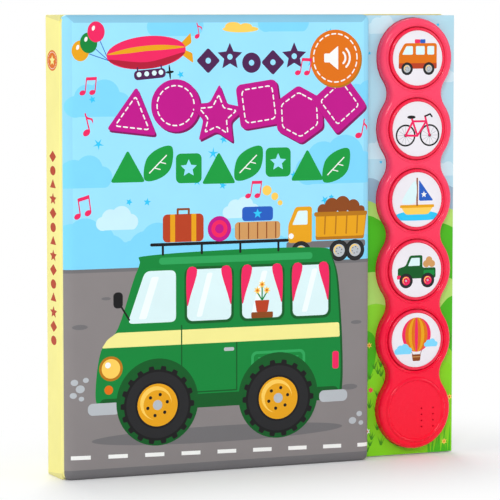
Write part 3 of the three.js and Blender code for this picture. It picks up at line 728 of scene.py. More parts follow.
def camper():
    """Green camper van facing left, about 140 wide, wheels on z 0."""
    art = Art()
    body = smooth([(4, 22), (7, 45), (16, 56), (27, 86), (36, 92), (120, 93), (133, 87), (137, 60),
                   (138, 24), (134, 17), (120, 17), (80, 17), (40, 17), (16, 17), (8, 17)])
    art.add("green_dark", moved(body, 1.2, -1.4))
    art.add("green", body)
    art.soft("cream", [(7.4, 46.4), (10.4, 50.6), (15.4, 53.8), (137.2, 53.8), (137.6, 46.4)], 1)
    art.box("green_light", 38, 87, 122, 90.5, 1.6)
    art.box("green_dark", 6, 14, 137, 21, 3)
    art.box("silver", 0, 13, 17, 19, 2.6)
    art.box("silver", 126, 13, 142, 19, 2.6)
    art.soft("glass", [(21, 58), (30.5, 84), (47, 84), (47, 58)], 3)
    art.soft("glass_shine", [(27, 60), (34, 81), (38, 81), (31, 60)], 1)
    for left, right in ((53, 77), (83, 105), (111, 131)):
        art.box("green_dark", left - 1.4, 56.6, right + 1.4, 85.4, 4)
        art.box("glass", left, 58, right, 84, 3)
        art.soft("glass_shine", [(left + 5, 60), (left + 11, 82), (left + 14, 82), (left + 8, 60)], 1)
        for x, reach in ((left, 5.5), (right, -5.5)):
            art.curve("crimson", [(x, 83.6), (x + reach, 83.6), (x + reach * 0.35, 71), (x, 66)], 4)
    art.box("brown", 88, 58, 100, 61, 0.6)
    art.soft("brick", [(91, 61), (97, 61), (98, 67), (90, 67)], 0.6)
    for x, z in ((91.4, 71), (94, 74), (96.6, 71)):
        art.line("green", [(94, 67), (x, z)], 0.7)
        art.add("yellow", star(x, z + 1, 2.1, 1.1, 7))
        art.oval("orange", x, z + 1, 0.7, n=12)
    for ends in ([(50, 56), (50, 22)], [(80, 46), (80, 22)], [(50, 22), (80, 22)]):
        art.line("green_dark", ends, 0.7)
    art.box("silver", 73, 42, 78.6, 43.8, 0.8)
    art.box("green_light", 88, 27, 118, 41, 3)
    art.box("green", 89.4, 28.4, 116.6, 39.6, 2)
    for i in range(4):
        art.line("green_light", [(92, 31 + 2.2 * i), (114, 31 + 2.2 * i)], 0.5)
    art.oval("amber_dark", 12.2, 36, 6.2, n=36)
    art.oval("yellow", 12.2, 36, 4.9, n=36)
    art.oval("white", 10.6, 37.8, 1.5, n=16)
    art.oval("orange", 11, 25.4, 2.3, n=20)
    art.box("crimson", 133.4, 30, 137, 39, 1.2)
    art.line("black", [(22, 60), (17, 68)], 0.9)
    art.box("black", 13.6, 66, 18.6, 74, 2)
    for x in (37, 103):
        art.oval("green_dark", x, 18, 22, n=56)
        art.place(wheel(18.0, "amber", 18), x, 16.5)
    for x in (40, 61, 82, 103):
        art.line("black", [(x, 92), (x, 97)], 1.2)
    art.line("black", [(34, 97), (108, 97)], 1.6)
    art.place(luggage(), 40, 98)
    return art


def luggage():
    """Suitcase, ring and boxes on the van's roof."""
    art = Art()
    art.box("brick", 0, 0, 22, 14, 2.4)
    art.box("amber", 4, 0, 6.6, 14, 0.3)
    art.box("amber", 15.4, 0, 18, 14, 0.3)
    art.line("brown", [(8, 14), (8, 16.4), (14, 16.4), (14, 14)], 1.1)
    for r, name in ((6.4, "magenta"), (4.4, "crimson"), (2.3, "magenta")):
        art.oval(name, 30.6, 6, r, n=36)
    art.box("tan", 39, 0, 64, 9, 2)
    for i in range(5):
        art.line("brown", [(41.5 + 5 * i, 0.6), (41.5 + 5 * i, 8.4)], 0.6)
    art.box("blue", 43, 9.4, 60, 16.6, 1.8)
    art.add("star_blue", star(51.5, 13, 2.6, 1.1))
    return art


def tipper():
    """Amber tipper truck facing left, about 46 wide."""
    art = Art()
    art.box("kerb", 2, 7, 46, 10.5, 1.2)
    art.soft("amber", [(3, 10), (3, 19), (7, 28), (16, 28), (16, 10)], 1.5)
    art.soft("glass", [(5.2, 19), (8.4, 26), (13.6, 26), (13.6, 19)], 0.8)
    art.soft("amber_dark", [(18, 11), (45, 11), (47, 24), (18, 24)], 1.2)
    art.soft("amber", [(18, 12.6), (45, 12.6), (46.6, 24.6), (18, 24.6)], 1.2)
    for x in (23, 29, 35, 41):
        art.line("amber_dark", [(x, 14), (x + 0.4, 23)], 0.8)
    for x, z, r in ((22, 26, 3), (27, 28, 4), (33, 28.6, 4.2), (39, 27.4, 3.6), (43.4, 25.6, 2.2)):
        art.oval("brown", x, z, r, n=20)
    art.box("amber_dark", 17.2, 22.8, 47.4, 25, 1)
    art.oval("white", 4.6, 13.4, 1.4, n=14)
    for x in (10, 31, 40):
        art.place(wheel(5.4, "silver"), x, 5.4)
    return art


def airship():
    """Crimson airship about 52 wide."""
    art = Art()
    art.soft("amber", [(44, 0), (55, 9), (55, 3), (49, 0), (55, -3), (55, -9)], 1)
    art.oval("crimson", 26, 0, 25, 9.6, n=60)
    art.curve("crimson_dark", [(2, -2), (12, -7.6), (26, -9.6), (40, -7.6), (50, -2), (26, -5.6)])
    stripe = [(1.4, 1), (14, 3.4), (26, 4), (38, 3.4), (50.8, 1), (38, 0.6), (26, 0.9), (14, 0.6)]
    art.curve("amber", stripe, 5)
    art.box("purple", 17, -15.6, 37, -10, 2.4)
    for x in (20.2, 25, 29.8, 34):
        art.oval("glass", x, -12.4, 1.5, n=16)
    for x in (19.5, 34.5):
        art.line("purple", [(x, -10), (x, -8.4)], 0.9)
    art.oval("black", 39.6, -12.8, 2.6, 0.8)
    art.oval("black", 39.6, -12.8, 0.6, 4.4)
    return art


def badge():
    """Orange disc with a stitched edge and a loudspeaker symbol."""
    symbol = Art()
    symbol.box("white", -6, -2, -2.8, 2, 0.6)
    symbol.soft("white", [(-3.4, -2), (1, -5.4), (1, 5.4), (-3.4, 2)], 0.5)
    for r in (3.2, 5.4):
        symbol.line("white", arc(1.4, 0, r, -48, 48, 8), 0.95)
    art = Art()
    art.oval("amber_dark", 0.5, -0.6, 12.6, n=60)
    art.oval("orange", 0, 0, 12.4, n=60)
    art.dashes("white", closed(ellipse(0, 0, 10.6, n=80)), 0.6, 1.9, 1.4)
    art.place(symbol, 0.4, 0, 0.98)
    return art


def title_patches(art):
    """Row of large shapes, each with a darker edge and a white stitched line inside it."""
    patches = (
        (softened(polygon(0, 0, 12.5, 3), 2), 0.68, -7), (ellipse(0, 0, 10.6), 0.76, 5),
        (softened(star(0, 0, 13, 6.4), 1.4), 0.66, -4), (rounded(-9.2, -9.2, 9.2, 9.2, 2.6), 0.74, 8),
        (softened(polygon(0, 0, 12, 6), 1.6), 0.76, 3), (softened(polygon(0, 0, 13, 4), 1.8), 0.68, -6),
    )
    for i, (shape, inset, turn) in enumerate(patches):
        patch = Art()
        patch.add("magenta_dark", moved(shape, 0.7, -0.8))
        patch.add("magenta", shape)
        stitches = dense([(a * inset, b * inset) for a, b in shape], 0.8)
        patch.dashes("white", closed(stitches), 0.55, 1.7, 1.3)
        art.place(patch, 37 + 23.0 * i, 186.0 + (3.0 if i % 2 else -2.6), 1.26, turn)


def purple_row(art):
    for i in range(5):
        x = 78 + 12.0 * i
        z = 211.6 + 2.0 * math.sin(i * 1.9)
        kinds = (softened(polygon(x, z, 6.6, 4), 1.2), star(x, z, 7.2, 3.4), ellipse(x, z, 5.2, n=32))
        art.add("purple", kinds[i % 3])
        art.oval("sky", x, z, 1.5, n=16)


def green_row():
    """Row of triangles, leaves and starred squares."""
    art = Art()
    leaf = smooth([(-6.2, -6.4), (-5.4, 2), (0.2, 6.6), (6.2, 7), (5.6, -1.6), (0.4, -6)])
    for i in range(8):
        x = 13.6 * (i - 3.5)
        z = 1.6 * math.sin(i * 1.7)
        if i % 3 == 0:
            art.soft("letter_green", polygon(x, z - 1.2, 9.0, 3), 1.5)
        elif i % 3 == 1:
            art.add("letter_green", moved(leaf, x, z))
            art.line("white", [(x - 4, z - 3.6), (x + 3.6, z + 3.6)], 0.5)
            for part in (-1.6, 0.8):
                art.line("white", [(x + part, z + part), (x + part + 2.4, z + part - 0.6)], 0.4)
        else:
            art.box("letter_green", x - 5.8, z - 6.2, x + 5.8, z + 6.2, 2.2)
            art.add("sky", star(x, z, 3.8, 1.8))
    return art


def sky_and_road(art):
    """The cover's background, with painted shade darkening the roll's edges at the sides and top."""
    rng = random.Random(4)
    # Painted shade: darker bands along the rolled left and right edges.
    art.box("sky_edge", BLEED_LEFT, 100, 4.6, 240, 0.5)
    art.box("sky_edge", 166, 100, 180, 240, 0.5)
    art.clouds("cloud", ((18, 186, 34), (150, 150, 46), (60, 226, 30), (120, 228, 28), (10, 150, 30),
                         (166, 188, 26)))
    # Painted shade: a darker band along the rolled top edge.
    art.add("sky_top", [(BLEED_LEFT, 240), (1.2, 235.4), (5.6, 231), (165, 231), (170, 235.4), (180, 240)])
    for i in range(28):
        art.oval("cloud", -2 + 6.5 * i, 114 + 7 * math.sin(i * 0.9) + 4 * math.sin(i * 0.37), 9.5, n=30)
    art.box("cloud", BLEED_LEFT, 90, BLEED_RIGHT, 120, 1)
    art.clouds("mist", ((28, 128, 22), (96, 132, 20)))
    for _ in range(20):
        x, z = rng.uniform(8, 162), rng.uniform(130, 230)
        art.add("star_blue", star(x, z, rng.uniform(1.4, 3.2), 0.9, 5, rng.uniform(0, 72)))
    art.box("road", BLEED_LEFT, BLEED_LEFT, BLEED_RIGHT, 107, 0.5)
    art.box("kerb", BLEED_LEFT, BLEED_LEFT, BLEED_RIGHT, KERB_TOP, 0.2)
    art.box("kerb", BLEED_LEFT, ROAD_EDGE, BLEED_RIGHT, 107.2, 0.4)
    for x in range(3, 180, 20):
        z = 11.6 - 3.0 * x / 170
        art.add("white", [(x, z - 0.9), (x + 10.5, z - 1.1), (x + 10.5, z + 0.9), (x, z + 1.1)])
    for x, z, r in ((16, 34, 2.4), (158, 40, 3.0), (162, 74, 2.0), (8, 78, 2.6), (22, 92, 1.6)):
        art.oval("kerb", x, z, r * 1.6, r * 0.5, n=18)


def cover_art():
    """Picture of the front cover."""
    art = Art()
    sky_and_road(art)
    art.place(tipper(), 119.5, 106.5, 1.04)
    for x, z, r in ((118, 138, 1.4), (115, 141.4, 2.0), (110.6, 144.6, 2.6)):
        art.oval("yellow", x, z, r, n=24)
    art.oval("kerb", 84, 19.5, 70, 4.2, n=60)
    art.place(camper(), 12, 19.5, 1.02)
    for x, z, name in ((9, 217, "amber"), (13.4, 221, "green"), (17.4, 226.5, "crimson")):
        art.line("blue", [(x, z), (24, 212)], 0.4)
        art.oval(name, x, z, 4.6, 5.2, n=32)
        art.oval("white", x - 1.4, z + 1.8, 0.8, 1.3, -20, n=14)
    art.place(airship(), 22, 214, 0.86, 5)
    art.oval("yellow", 96, 227.6, 10, 1.7, n=30)
    art.oval("yellow", 92, 228.8, 4.6, 2.4)
    art.oval("yellow", 99, 228.6, 3.6, 2)
    for x, z, r in ((5, 50, 1.6), (8, 46.6, 2.0), (4.4, 43.4, 1.5), (11, 51, 1.3), (8.6, 41.6, 1.2),
                    (160, 22, 1.8), (164, 25.4, 1.4), (165, 20.6, 1.2)):
        art.oval("silver", x, z, r * 1.2, r, n=18)
    title_patches(art)
    purple_row(art)
    art.place(green_row(), 92, 157.5, 1.22)
    art.place(badge(), 149.5, 212.5, 1.18)
    for double, x, z, scale, turn in (
            (False, 12, 176, 1.0, 14), (True, 128, 205, 0.8, -10), (True, 7, 134, 0.9, 8),
            (False, 163, 172, 0.95, -12), (False, 72, 224, 0.7, 10), (True, 100, 142, 0.8, -8),
            (True, 10, 196, 0.8, -6)):
        art.place(note(double), x, z, scale, turn)
    return art.shapes


def strip_art():
    """Picture on the strip behind the buttons: sky, far hills and a meadow."""
    art = Art()
    art.clouds("strip_cloud", ((181, 226, 18), (216, 200, 16), (178, 160, 18), (219, 150, 14)))
    for name, tops in (
            ("hill_blue", ((160, 140), (174, 149), (192, 141), (212, 147), (232, 138))),
            ("hill_light", ((160, 132), (173, 137), (192, 128), (216, 133), (232, 126))),
            ("grass_deep", ((160, 124), (174, 129), (194, 119), (216, 124), (232, 116))),
            ("hill_light", ((160, 92), (176, 99), (198, 90), (218, 95), (232, 88))),
            ("hill_green", ((160, 74), (178, 82), (204, 73), (220, 79), (232, 70))),
            ("grass", ((160, 44), (178, 52), (200, 40), (216, 50), (232, 40)))):
        art.hill(name, -10, tops)
    art.curve("grass_deep", [(160, 40), (166, 62), (172, 68), (178, 62), (176, 46), (168, 36)], 8)
    art.curve("grass_deep", [(214, 74), (222, 84), (230, 80), (230, 50), (222, 56), (217, 64)], 8)
    rng = random.Random(11)
    for _ in range(26):
        x = rng.choice((rng.uniform(172, 184), rng.uniform(212, 222)))
        z = rng.uniform(2, 60)
        for lean in (-2.0, -0.6, 0.9, 2.2):
            art.add("grass_dark", [(x - 0.5, z), (x + 0.5, z), (x + lean, z + rng.uniform(3.0, 5.6))])
    for i in range(9):
        x = 210 + 1.5 * i
        art.add("grass_deep", [(x - 0.9, -1), (x + 0.9, -1), (x + rng.uniform(-2, 3), rng.uniform(9, 17))])
    for name, x, z in (("yellow", 174, 60), ("white", 220, 62), ("yellow", 222, 30), ("white", 173, 14),
                       ("yellow", 219, 6), ("crimson", 175, 36)):
        art.add(name, star(x, z, 1.8, 0.9, 6))
        art.oval("orange", x, z, 0.5, n=10)
    for _ in range(9):
        x, z = rng.uniform(172, 222), rng.uniform(96, 232)
        art.add("star_blue", star(x, z, 1.1, 0.45))
    return art.shapes


def small_van(art):
    art.soft("orange", [(-10, -4), (-10, 2), (-7, 7), (10, 7), (10, -4)], 1.4)
    art.box("brick", -10, -5, 10, -2.4, 0.6)
    art.soft("glass", [(-8.2, 1.6), (-6, 5.6), (-2.6, 5.6), (-2.6, 1.6)], 0.6)
    art.box("glass", -1, 1.6, 3.6, 5.6, 0.5)
    art.box("glass", 5, 1.6, 8.6, 5.6, 0.5)
    art.box("crimson", -1.6, 7, 1.2, 8.8, 0.4)
    art.box("blue", 1.2, 7, 4, 8.8, 0.4)
    for x in (-5.6, 5.8):
        art.place(wheel(3.0, "silver"), x, -5)


def bicycle(art):
    for x in (-6.2, 6.4):
        art.oval("black", x, -3, 5.2)
        art.oval("disc", x, -3, 4.4)
        rim = arc(x, -3, 4.4, 0, 360, 12)
        for i in range(6):
            art.line("silver", [rim[i], rim[i + 6]], 0.22)
        art.oval("black", x, -3, 0.8, n=14)
    art.line("crimson", [(-6.2, -3), (-2.4, 3.6), (4.6, 3.6), (0, -3.2), (-6.2, -3)], 1.0)
    art.line("crimson", [(-3, 5), (0, -3.2)], 1.0)
    art.line("crimson", [(6.4, -3), (4, 6)], 1.0)
    art.oval("black", -3.2, 5.6, 2.2, 0.8)
    art.line("black", [(4, 6), (6.6, 7), (7.6, 5.8)], 0.8)


def sailing_boat(art):
    waves = [(-11, -7), (-5, -5.6), (0, -7), (5, -5.6), (11, -7), (9, -9.6), (-9, -9.6)]
    art.curve("star_blue", waves, 5)
    art.soft("yellow", [(-9, -2.6), (9, -2.6), (6, -7), (-6, -7)], 1.2)
    art.box("amber", -9, -3.8, 9, -2.4, 0.5)
    art.line("brown", [(0, -2.6), (0, 10)], 0.8)
    art.curve("glass", [(-1, 9), (-8, -1), (-1, -1)], 5)
    art.soft("blue", [(1, 9.4), (8.6, -0.6), (1, -0.6)], 0.8)
    art.add("white", star(3.6, 2.4, 1.6, 0.7))


def pickup(art):
    body = [(-10, -4), (-10, 1), (-6, 2), (-3.6, 7), (3, 7), (3, 1), (10, 1), (10, -4)]
    art.soft("green_dark", body, 1)
    art.soft("glass", [(-4.6, 2), (-2.8, 5.8), (1.6, 5.8), (1.6, 2)], 0.5)
    art.box("green", 3.6, -2.6, 9.4, -0.2, 0.5)
    for x, z in ((5, 2.8), (8, 2.8), (6.5, 4.6)):
        art.oval("tan", x, z, 1.7, n=20)
    art.box("crimson", -10.4, -4.2, -8.4, -2.4, 0.4)
    for x in (-5.6, 5.8):
        art.place(wheel(3.5, "crimson"), x, -5)


def balloon(art):
    for i, name in enumerate(("crimson", "orange", "amber", "orange", "crimson")):
        art.oval(name, 0, 2.6, 7.6 - 1.7 * i, 8.2, n=44)
    for side in (-1, 1):
        art.line("brown", [(2.8 * side, -5), (2 * side, -7)], 0.3)
    art.soft("brown", [(-2.4, -6.8), (2.4, -6.8), (1.9, -10), (-1.9, -10)], 0.5)
    art.line("tan", [(-2.1, -8), (2.1, -8)], 0.4)
    art.clouds("cloud", ((-7, -6, 9), (7.6, -3, 7)))


def disc_art(kind):
    """Picture on a button, about 24 wide; kind counts from the top button."""
    art = Art()
    (small_van, bicycle, sailing_boat, pickup, balloon)[kind](art)
    return art.shapes


def page_art():
    """Picture on the first page, with a row of signs for the five buttons."""
    art = Art()
    art.hill("hill_light", -10, ((-10, 110), (50, 128), (90, 108), (130, 124), (180, 112)))
    art.hill("hill_green", -10, ((-10, 80), (20, 84), (70, 96), (120, 80), (180, 92)))
    art.hill("road", -10, ((-10, 40), (40, 52), (90, 40), (140, 50), (185, 44)))
    for x in range(6, 154, 21):
        art.box("white", x, 24, x + 11, 26.4, 0.8)
    art.clouds("white", ((34, 200, 34), (112, 214, 40), (140, 170, 30)))
    art.oval("yellow", 24, 214, 10, n=44)
    for inner, outer in zip(arc(24, 214, 12, 0, 360, 12)[:-1], arc(24, 214, 15, 0, 360, 12)):
        art.line("yellow", [inner, outer], 1.2)
    art.place(camper(), 24, 32, 0.56)
    art.place(tipper(), 112, 40, 0.9)
    art.place(airship(), 70, 176, 0.9, 6)
    for x, z, s in ((12, 88, 1.0), (150, 92, 1.3), (132, 88, 0.8), (60, 96, 0.9)):
        art.line("brown", [(x, z), (x, z + 9 * s)], 2 * s)
        art.oval("green", x, z + 15 * s, 7 * s, 8 * s, n=28)
        art.oval("green_light", x - 2 * s, z + 17 * s, 3 * s, 4 * s, n=20)
    for i in range(5):
        art.sign(i, 26 + 29 * i, 10, 7.4, 6.3, 0.44, 44)
    return art.shapes


def endpaper_art(x0, x1):
    """Rows of small signs on the papers pasted inside the covers."""
    art = Art()
    names = ("amber", "crimson", "green", "magenta", "blue")
    row_step, column_step = 13.0, 18
    for row in range(math.ceil((HEIGHT - 8 - 14) / row_step)):
        z = 14.0 + row_step * row
        start = x0 + 10 + 9 * (row % 2)
        for column in range(math.ceil((x1 - 8 - start) / column_step)):
            x = start + column_step * column
            kinds = (star(x, z, 3.4, 1.6), ellipse(x, z, 2.4, n=24), softened(polygon(x, z, 3.0, 3), 0.6),
                     rounded(x - 2.3, z - 2.3, x + 2.3, z + 2.3, 0.8))
            art.add(names[(row + column) % 5], kinds[(2 * row + column) % 4])
    return art.shapes


def seen_from_behind(shapes):
    return [(name, mirrored(shape)[::-1]) for name, shape in shapes]


# Front cover

def past_edge(v, low, high, reach):
    """0 inside, 1 at the edge, for a border of that reach."""
    return max(0.0, (low + reach - v) / reach, (v - high + reach) / reach)


def cover_roll(x, z):
    across = past_edge(x, COVER_LEFT, COVER_RIGHT, ROLL)
    up = past_edge(z, 0.0, HEIGHT, ROLL)
    return min(1.0, (across ** ROLL_POWER + up ** ROLL_POWER) ** (1 / ROLL_POWER))


def cover_ring(u, n=10):
    """Outline in x and z where the cover's roll has gone as far as u."""
    loop = []
    left, right, top = COVER_LEFT + ROLL, COVER_RIGHT - ROLL, HEIGHT - ROLL
    power = 2 / ROLL_POWER
    for x, z, start in ((right, ROLL, -90), (right, top, 0), (left, top, 90), (left, ROLL, 180)):
        for c, s in arc(0, 0, 1, start, start + 90, n):
            loop.append((x + ROLL * u * math.copysign(abs(c) ** power, c),
                         z + ROLL * u * math.copysign(abs(s) ** power, s)))
    return dense(loop, 4.0)


def crown(x, z):
    """How far the padding lifts the cover's face."""
    across = abs(2 * (x - COVER_LEFT) / (COVER_RIGHT - COVER_LEFT) - 1)
    up = abs(2 * z / HEIGHT - 1)
    return CROWN * max(0.0, 1 - across ** 5) * max(0.0, 1 - up ** 6)


def cover_front(x, z):
    u = cover_roll(x, z)
    ripple = 0.05 * math.sin(z * 0.9 + x * 0.05) * math.sin(x * 0.75) * (u > 0) * (1 - u)
    return x, ROLL_DEPTH * fall(u) - crown(x, z) + ripple, z


def drawn_in(v, low, high, inset):
    """The place moved in from the cover's edge, by inset at the edge and not at all inside the roll."""
    if v < low + ROLL:
        return low + inset + (v - low) * (ROLL - inset) / ROLL
    if v > high - ROLL:
        return high - inset - (high - v) * (ROLL - inset) / ROLL
    return v


def cover_level(y, inset):
    return lambda x, z: (drawn_in(x, COVER_LEFT, COVER_RIGHT, inset), y, drawn_in(z, 0.0, HEIGHT, inset))


def cover_inside(x, z):
    a, y, b = cover_level(PAPER, PAPER)(x, z)
    return a, y + ROLL_DEPTH * fall(cover_roll(x, z)) - crown(x, z), b


def edge_ink(p):
    """Ink on the cover's thin side walls, which carries on from its face."""
    if p[0] < COVER_LEFT + 0.6:
        return "cream"
    if p[1] < KERB_TOP:
        return "kerb"
    return "road" if p[1] < ROAD_EDGE else "sky"


def add_cover():
    rings = [cover_ring(math.sin(math.pi / 2 * i / ROLL_STEPS)) for i in range(1, ROLL_STEPS)]
    flat = cut(cover_ring(1.0), (), cover_art(), "sky", rings, grid(6, 6, 164, 229, 5.0))
    levels = [cover_level(y, inset) for y, inset in (
        (5.35, 0.0), (5.66, 0.12), (COVER_BACK, 0.42), (COVER_BACK, TURN_IN), (COVER_INNER, TURN_IN),
        (COVER_INNER, PAPER))]
    piece = Piece("front_cover_print")
    sheet(piece, flat, cover_front, levels + [cover_inside], (), cover_inside, edge_ink, "page")
    made = piece.finish("front_cover", ["front_wrap"], "sky_print")
    signs = endpaper_art(END_PAPER_BOX[0], END_PAPER_BOX[2])
    flat = cut(mirrored(rounded(*END_PAPER_BOX, 0.8)), (), seen_from_behind(signs), "mist")
    lining = Piece("front_endpaper_print")
    sheet(lining, flat, level(COVER_BACK, -1), [level(COVER_INNER, -1)], edge=lambda p: "page")
    lining.finish("front_cover", ["front_endpaper"], "end_paper")


# Spine and back cover, one wrapped sheet laid out along s, which is -x in its outline

SPINE_END = THICKNESS - SPINE_ROUND - BLOCK_FRONT
CORNER_END = SPINE_END + SPINE_ROUND * math.pi / 2
CASE_LENGTH = CORNER_END + WIDTH - SPINE_ROUND
CORNER_MIDDLE = (SPINE_END + CORNER_END) / 2
BAY_S = BAY_X - SPINE_ROUND + CORNER_END


def case_point(s, z, depth):
    """Point at that depth under the case's outer face."""
    if s <= SPINE_END:
        return depth, BLOCK_FRONT + s, z
    if s >= CORNER_END:
        return SPINE_ROUND + s - CORNER_END, THICKNESS - depth, z
    turn = (s - SPINE_END) / SPINE_ROUND
    r = SPINE_ROUND - depth
    return SPINE_ROUND - r * math.cos(turn), THICKNESS - SPINE_ROUND + r * math.sin(turn), z


def case_front(x, z):
    across = past_edge(-x, 0.0, CASE_LENGTH, CASE_ROUND)
    up = past_edge(z, 0.0, HEIGHT, CASE_ROUND)
    return case_point(-x, z, CASE_ROUND * fall(math.hypot(across, up)))


def case_foot(x, z):
    """Where the turned-in edge meets the page block."""
    if -x < CORNER_MIDDLE:
        return SPINE_INNER, BLOCK_FRONT + (BLOCK_BACK - BLOCK_FRONT) * -x / CORNER_MIDDLE, z
    part = (-x - CORNER_MIDDLE) / (CASE_LENGTH - CORNER_MIDDLE)
    return SPINE_INNER + (WIDTH - SPINE_INNER) * part, BLOCK_BACK, z


def case_ring(u):
    low, high, top = CASE_ROUND, CASE_LENGTH - CASE_ROUND, HEIGHT - CASE_ROUND
    loop = []
    for s, z, start in ((high, low, -90), (high, top, 0), (low, top, 90), (low, low, 180)):
        loop += arc(s, z, CASE_ROUND * u, start, start + 90, 6)
    return mirrored(dense(loop, 6.0))


def inward(x, z):
    """The point, drawn in from the case's edge by the paper's thickness."""
    return max(PAPER - CASE_LENGTH, min(-PAPER, x)), max(PAPER, min(HEIGHT - PAPER, z))


def past_bay(x, z):
    """The point on the battery bay's edge, moved out by the paper's thickness."""
    return (-BAY_S + (x + BAY_S) * (1 + PAPER / BAY_HALF_X), BAY_Z + (z - BAY_Z) * (1 + PAPER / BAY_HALF_Z))


def case_inside(x, z):
    if abs(x + BAY_S) < BAY_HALF_X + 0.01 and abs(z - BAY_Z) < BAY_HALF_Z + 0.01:
        x, z = past_bay(x, z)
    a, b = inward(x, z)
    return case_point(-a, b, PAPER)


def bay_level(depth, move=lambda x, z: (x, z)):
    def at(x, z):
        a, b = move(x, z)
        return case_point(-a, b, depth)
    return at


def back_art():
    """Spine and back, drawn in s and z; the back is seen from behind in the end."""
    art = Art()
    middle = SPINE_END / 2 + 0.6
    signs = (ellipse(0, 0, 2.4, n=22), softened(polygon(0, 0, 3.0, 4), 0.4), star(0, 0, 3.2, 1.5),
             softened(polygon(0, 0, 3.0, 3), 0.4))
    for i in range(14):
        art.add("brick", [(middle + a * 1.7, 70 + 7.2 * i + b) for a, b in signs[i % 4]])
    art.oval("orange", middle, 212, 7.6, 5.2, n=48)
    art.dashes("white", closed(ellipse(middle, 212, 6.2, 4.2, 0, 48)), 0.35, 1.0, 0.8)
    art.add("cream", [(middle + a * 1.5, 212 + b) for a, b in star(0, 0, 2.8, 1.3)])
    # Painted shade: darker wedges at the spine's top and bottom ends.
    for low, high in ((-1, 3.2), (HEIGHT + 1, HEIGHT - 3.2)):
        art.add("cream_shade", [(-1, low), (0, high), (SPINE_END - 1, high * 0.5 + low * 0.5),
                                (SPINE_END + 3, low)])
    back = Art()
    back.box("sky", 18, 96, 152, 214, 0.6)
    back.hill("hill_light", 98, [(18, 128), (60, 142), (100, 126), (152, 138)])
    back.hill("hill_green", 96, [(18, 112), (70, 122), (120, 110), (152, 118)])
    back.clouds("white", ((46, 190, 26), (122, 196, 30), (126, 160, 22)))
    back.place(airship(), 48, 168, 1.1, -4)
    back.place(tipper(), 66, 112, 0.9)
    back.dashes("brick", closed(rounded(14, 92, 156, 218, 5)), 0.7, 4.0, 3.0)
    for i in range(5):
        back.sign(i, 34 + 26 * i, 72, 9, 7.8, 0.54, 48)
    back.box("white", 22, 18, 66, 46, 2)
    back.dashes("kerb", rounded(24, 20, 64, 44, 1.4), 0.35, 1.6, 1.2)
    for i in range(6):
        back.add("amber", star(84 + 12 * i, 32, 3.2, 1.5))
    art.place(back, CORNER_END - SPINE_ROUND, 0)
    return seen_from_behind(art.shapes)


def add_case():
    hole = mirrored(dense(rounded(BAY_S - BAY_HALF_X, BAY_Z - BAY_HALF_Z, BAY_S + BAY_HALF_X,
                                  BAY_Z + BAY_HALF_Z, 2.0), 4.0))
    rings = [case_ring(math.sin(math.radians(a))) for a in (0.5, 30, 60)]
    for s in [SPINE_END + SPINE_ROUND * math.pi / 2 * k / 8 for k in range(9)]:
        rings.append([(-s, z) for z in (0.7, 60, 120, 180, HEIGHT - 0.7)])
    points = mirrored(grid(2, 4, CASE_LENGTH - 2, 231, 12.0))
    flat = cut(case_ring(1.0), [hole], back_art(), "cream", rings, points)
    outer = [case_foot, lambda x, z: case_foot(*inward(x, z)), case_inside]
    inner = [bay_level(CASE_BOARD), bay_level(CASE_BOARD, past_bay), bay_level(PAPER, past_bay)]
    piece = Piece("case_print")
    sheet(piece, flat, case_front, outer, inner, case_inside, None, "page")
    piece.finish("root", ["case_wrap"], "cream_print")


def add_hinge():
    """Paper that joins the spine to the cover."""
    path = [(-0.06, 7.6), (-0.10, 7.2), (-0.10, 6.5), (-0.05, 6.1), (0.03, 5.95), (0.12, 5.8), (0.18, 5.5),
            (0.19, 4.9), (0.24, 4.5)]
    inside = moved(path, HINGE_THICK, 0)
    piece = Piece("hinge_paper")
    low, high = HINGE_MARGIN, HEIGHT - HINGE_MARGIN
    rows = [low + (high - low) * i / HINGE_ROWS for i in range(HINGE_ROWS + 1)]
    for i, ((ax, ay), (bx, by)) in enumerate(pairs(path + inside[::-1])):
        for z0, z1 in zip(rows, rows[1:]):
            corners = [(bx, by, z0), (bx, by, z1), (ax, ay, z1), (ax, ay, z0)]
            piece.face(corners, "cream" if i < len(path) - 1 else "page")
    for (a, b), (c, d) in zip(zip(path, path[1:]), zip(inside, inside[1:])):
        piece.face([(*p, low) for p in (c, d, b, a)], "page")
        piece.face([(*p, high) for p in (a, b, d, c)], "page")
    made = piece.finish(None, (), "cream_print")
    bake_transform(made)


# Pages, strip and bed

def slab(piece, outline, y0, y1, holes=(), art=(), face="page", edge="page_core", soft=0.2):
    """Board with softened edges; a printed one carries its picture on the front."""
    across = [p[0] for p in outline]
    up = [p[1] for p in outline]
    middle_x = (min(across) + max(across)) / 2
    middle_z = (min(up) + max(up)) / 2

    def inset(y, part):
        def at(x, z):
            dx = max(-1.0, min(1.0, (x - middle_x) / 3)) * soft * part
            dz = max(-1.0, min(1.0, (z - middle_z) / 3)) * soft * part
            return x - dx, y, z - dz
        return at
    outer = [inset(y0 + soft * 0.3, 0.25), inset(y0 + soft, 0), inset(y1 - soft, 0),
             inset(y1 - soft * 0.3, 0.25), inset(y1, 1)]
    inner = [inset(y0 + soft, 1), inset(y1, 1)]
    sheet(piece, cut(outline, holes, art, face), inset(y0, 1), outer, inner, None, lambda p: edge, face)


def add_pages():
    piece = Piece("page_leaves")
    pitch = (LEAF_BACK - BLOCK_FRONT + LEAF_GAP) / LEAF_COUNT
    outline = dense(rounded(*LEAF_BOX, 3.0), 6.0)
    for i in range(LEAF_COUNT):
        y0 = BLOCK_FRONT + pitch * i
        picture, face = ((), "page") if i else (page_art(), "sky")
        slab(piece, outline, y0, y0 + pitch - LEAF_GAP, (), picture, face)
    core = dense(rounded(*CORE_BOX, 2.0), 10.0)
    slab(piece, core, BLOCK_FRONT + CORE_INSET, CORE_BACK, soft=0.05)
    piece.finish("root", ["pages"], "page_board")


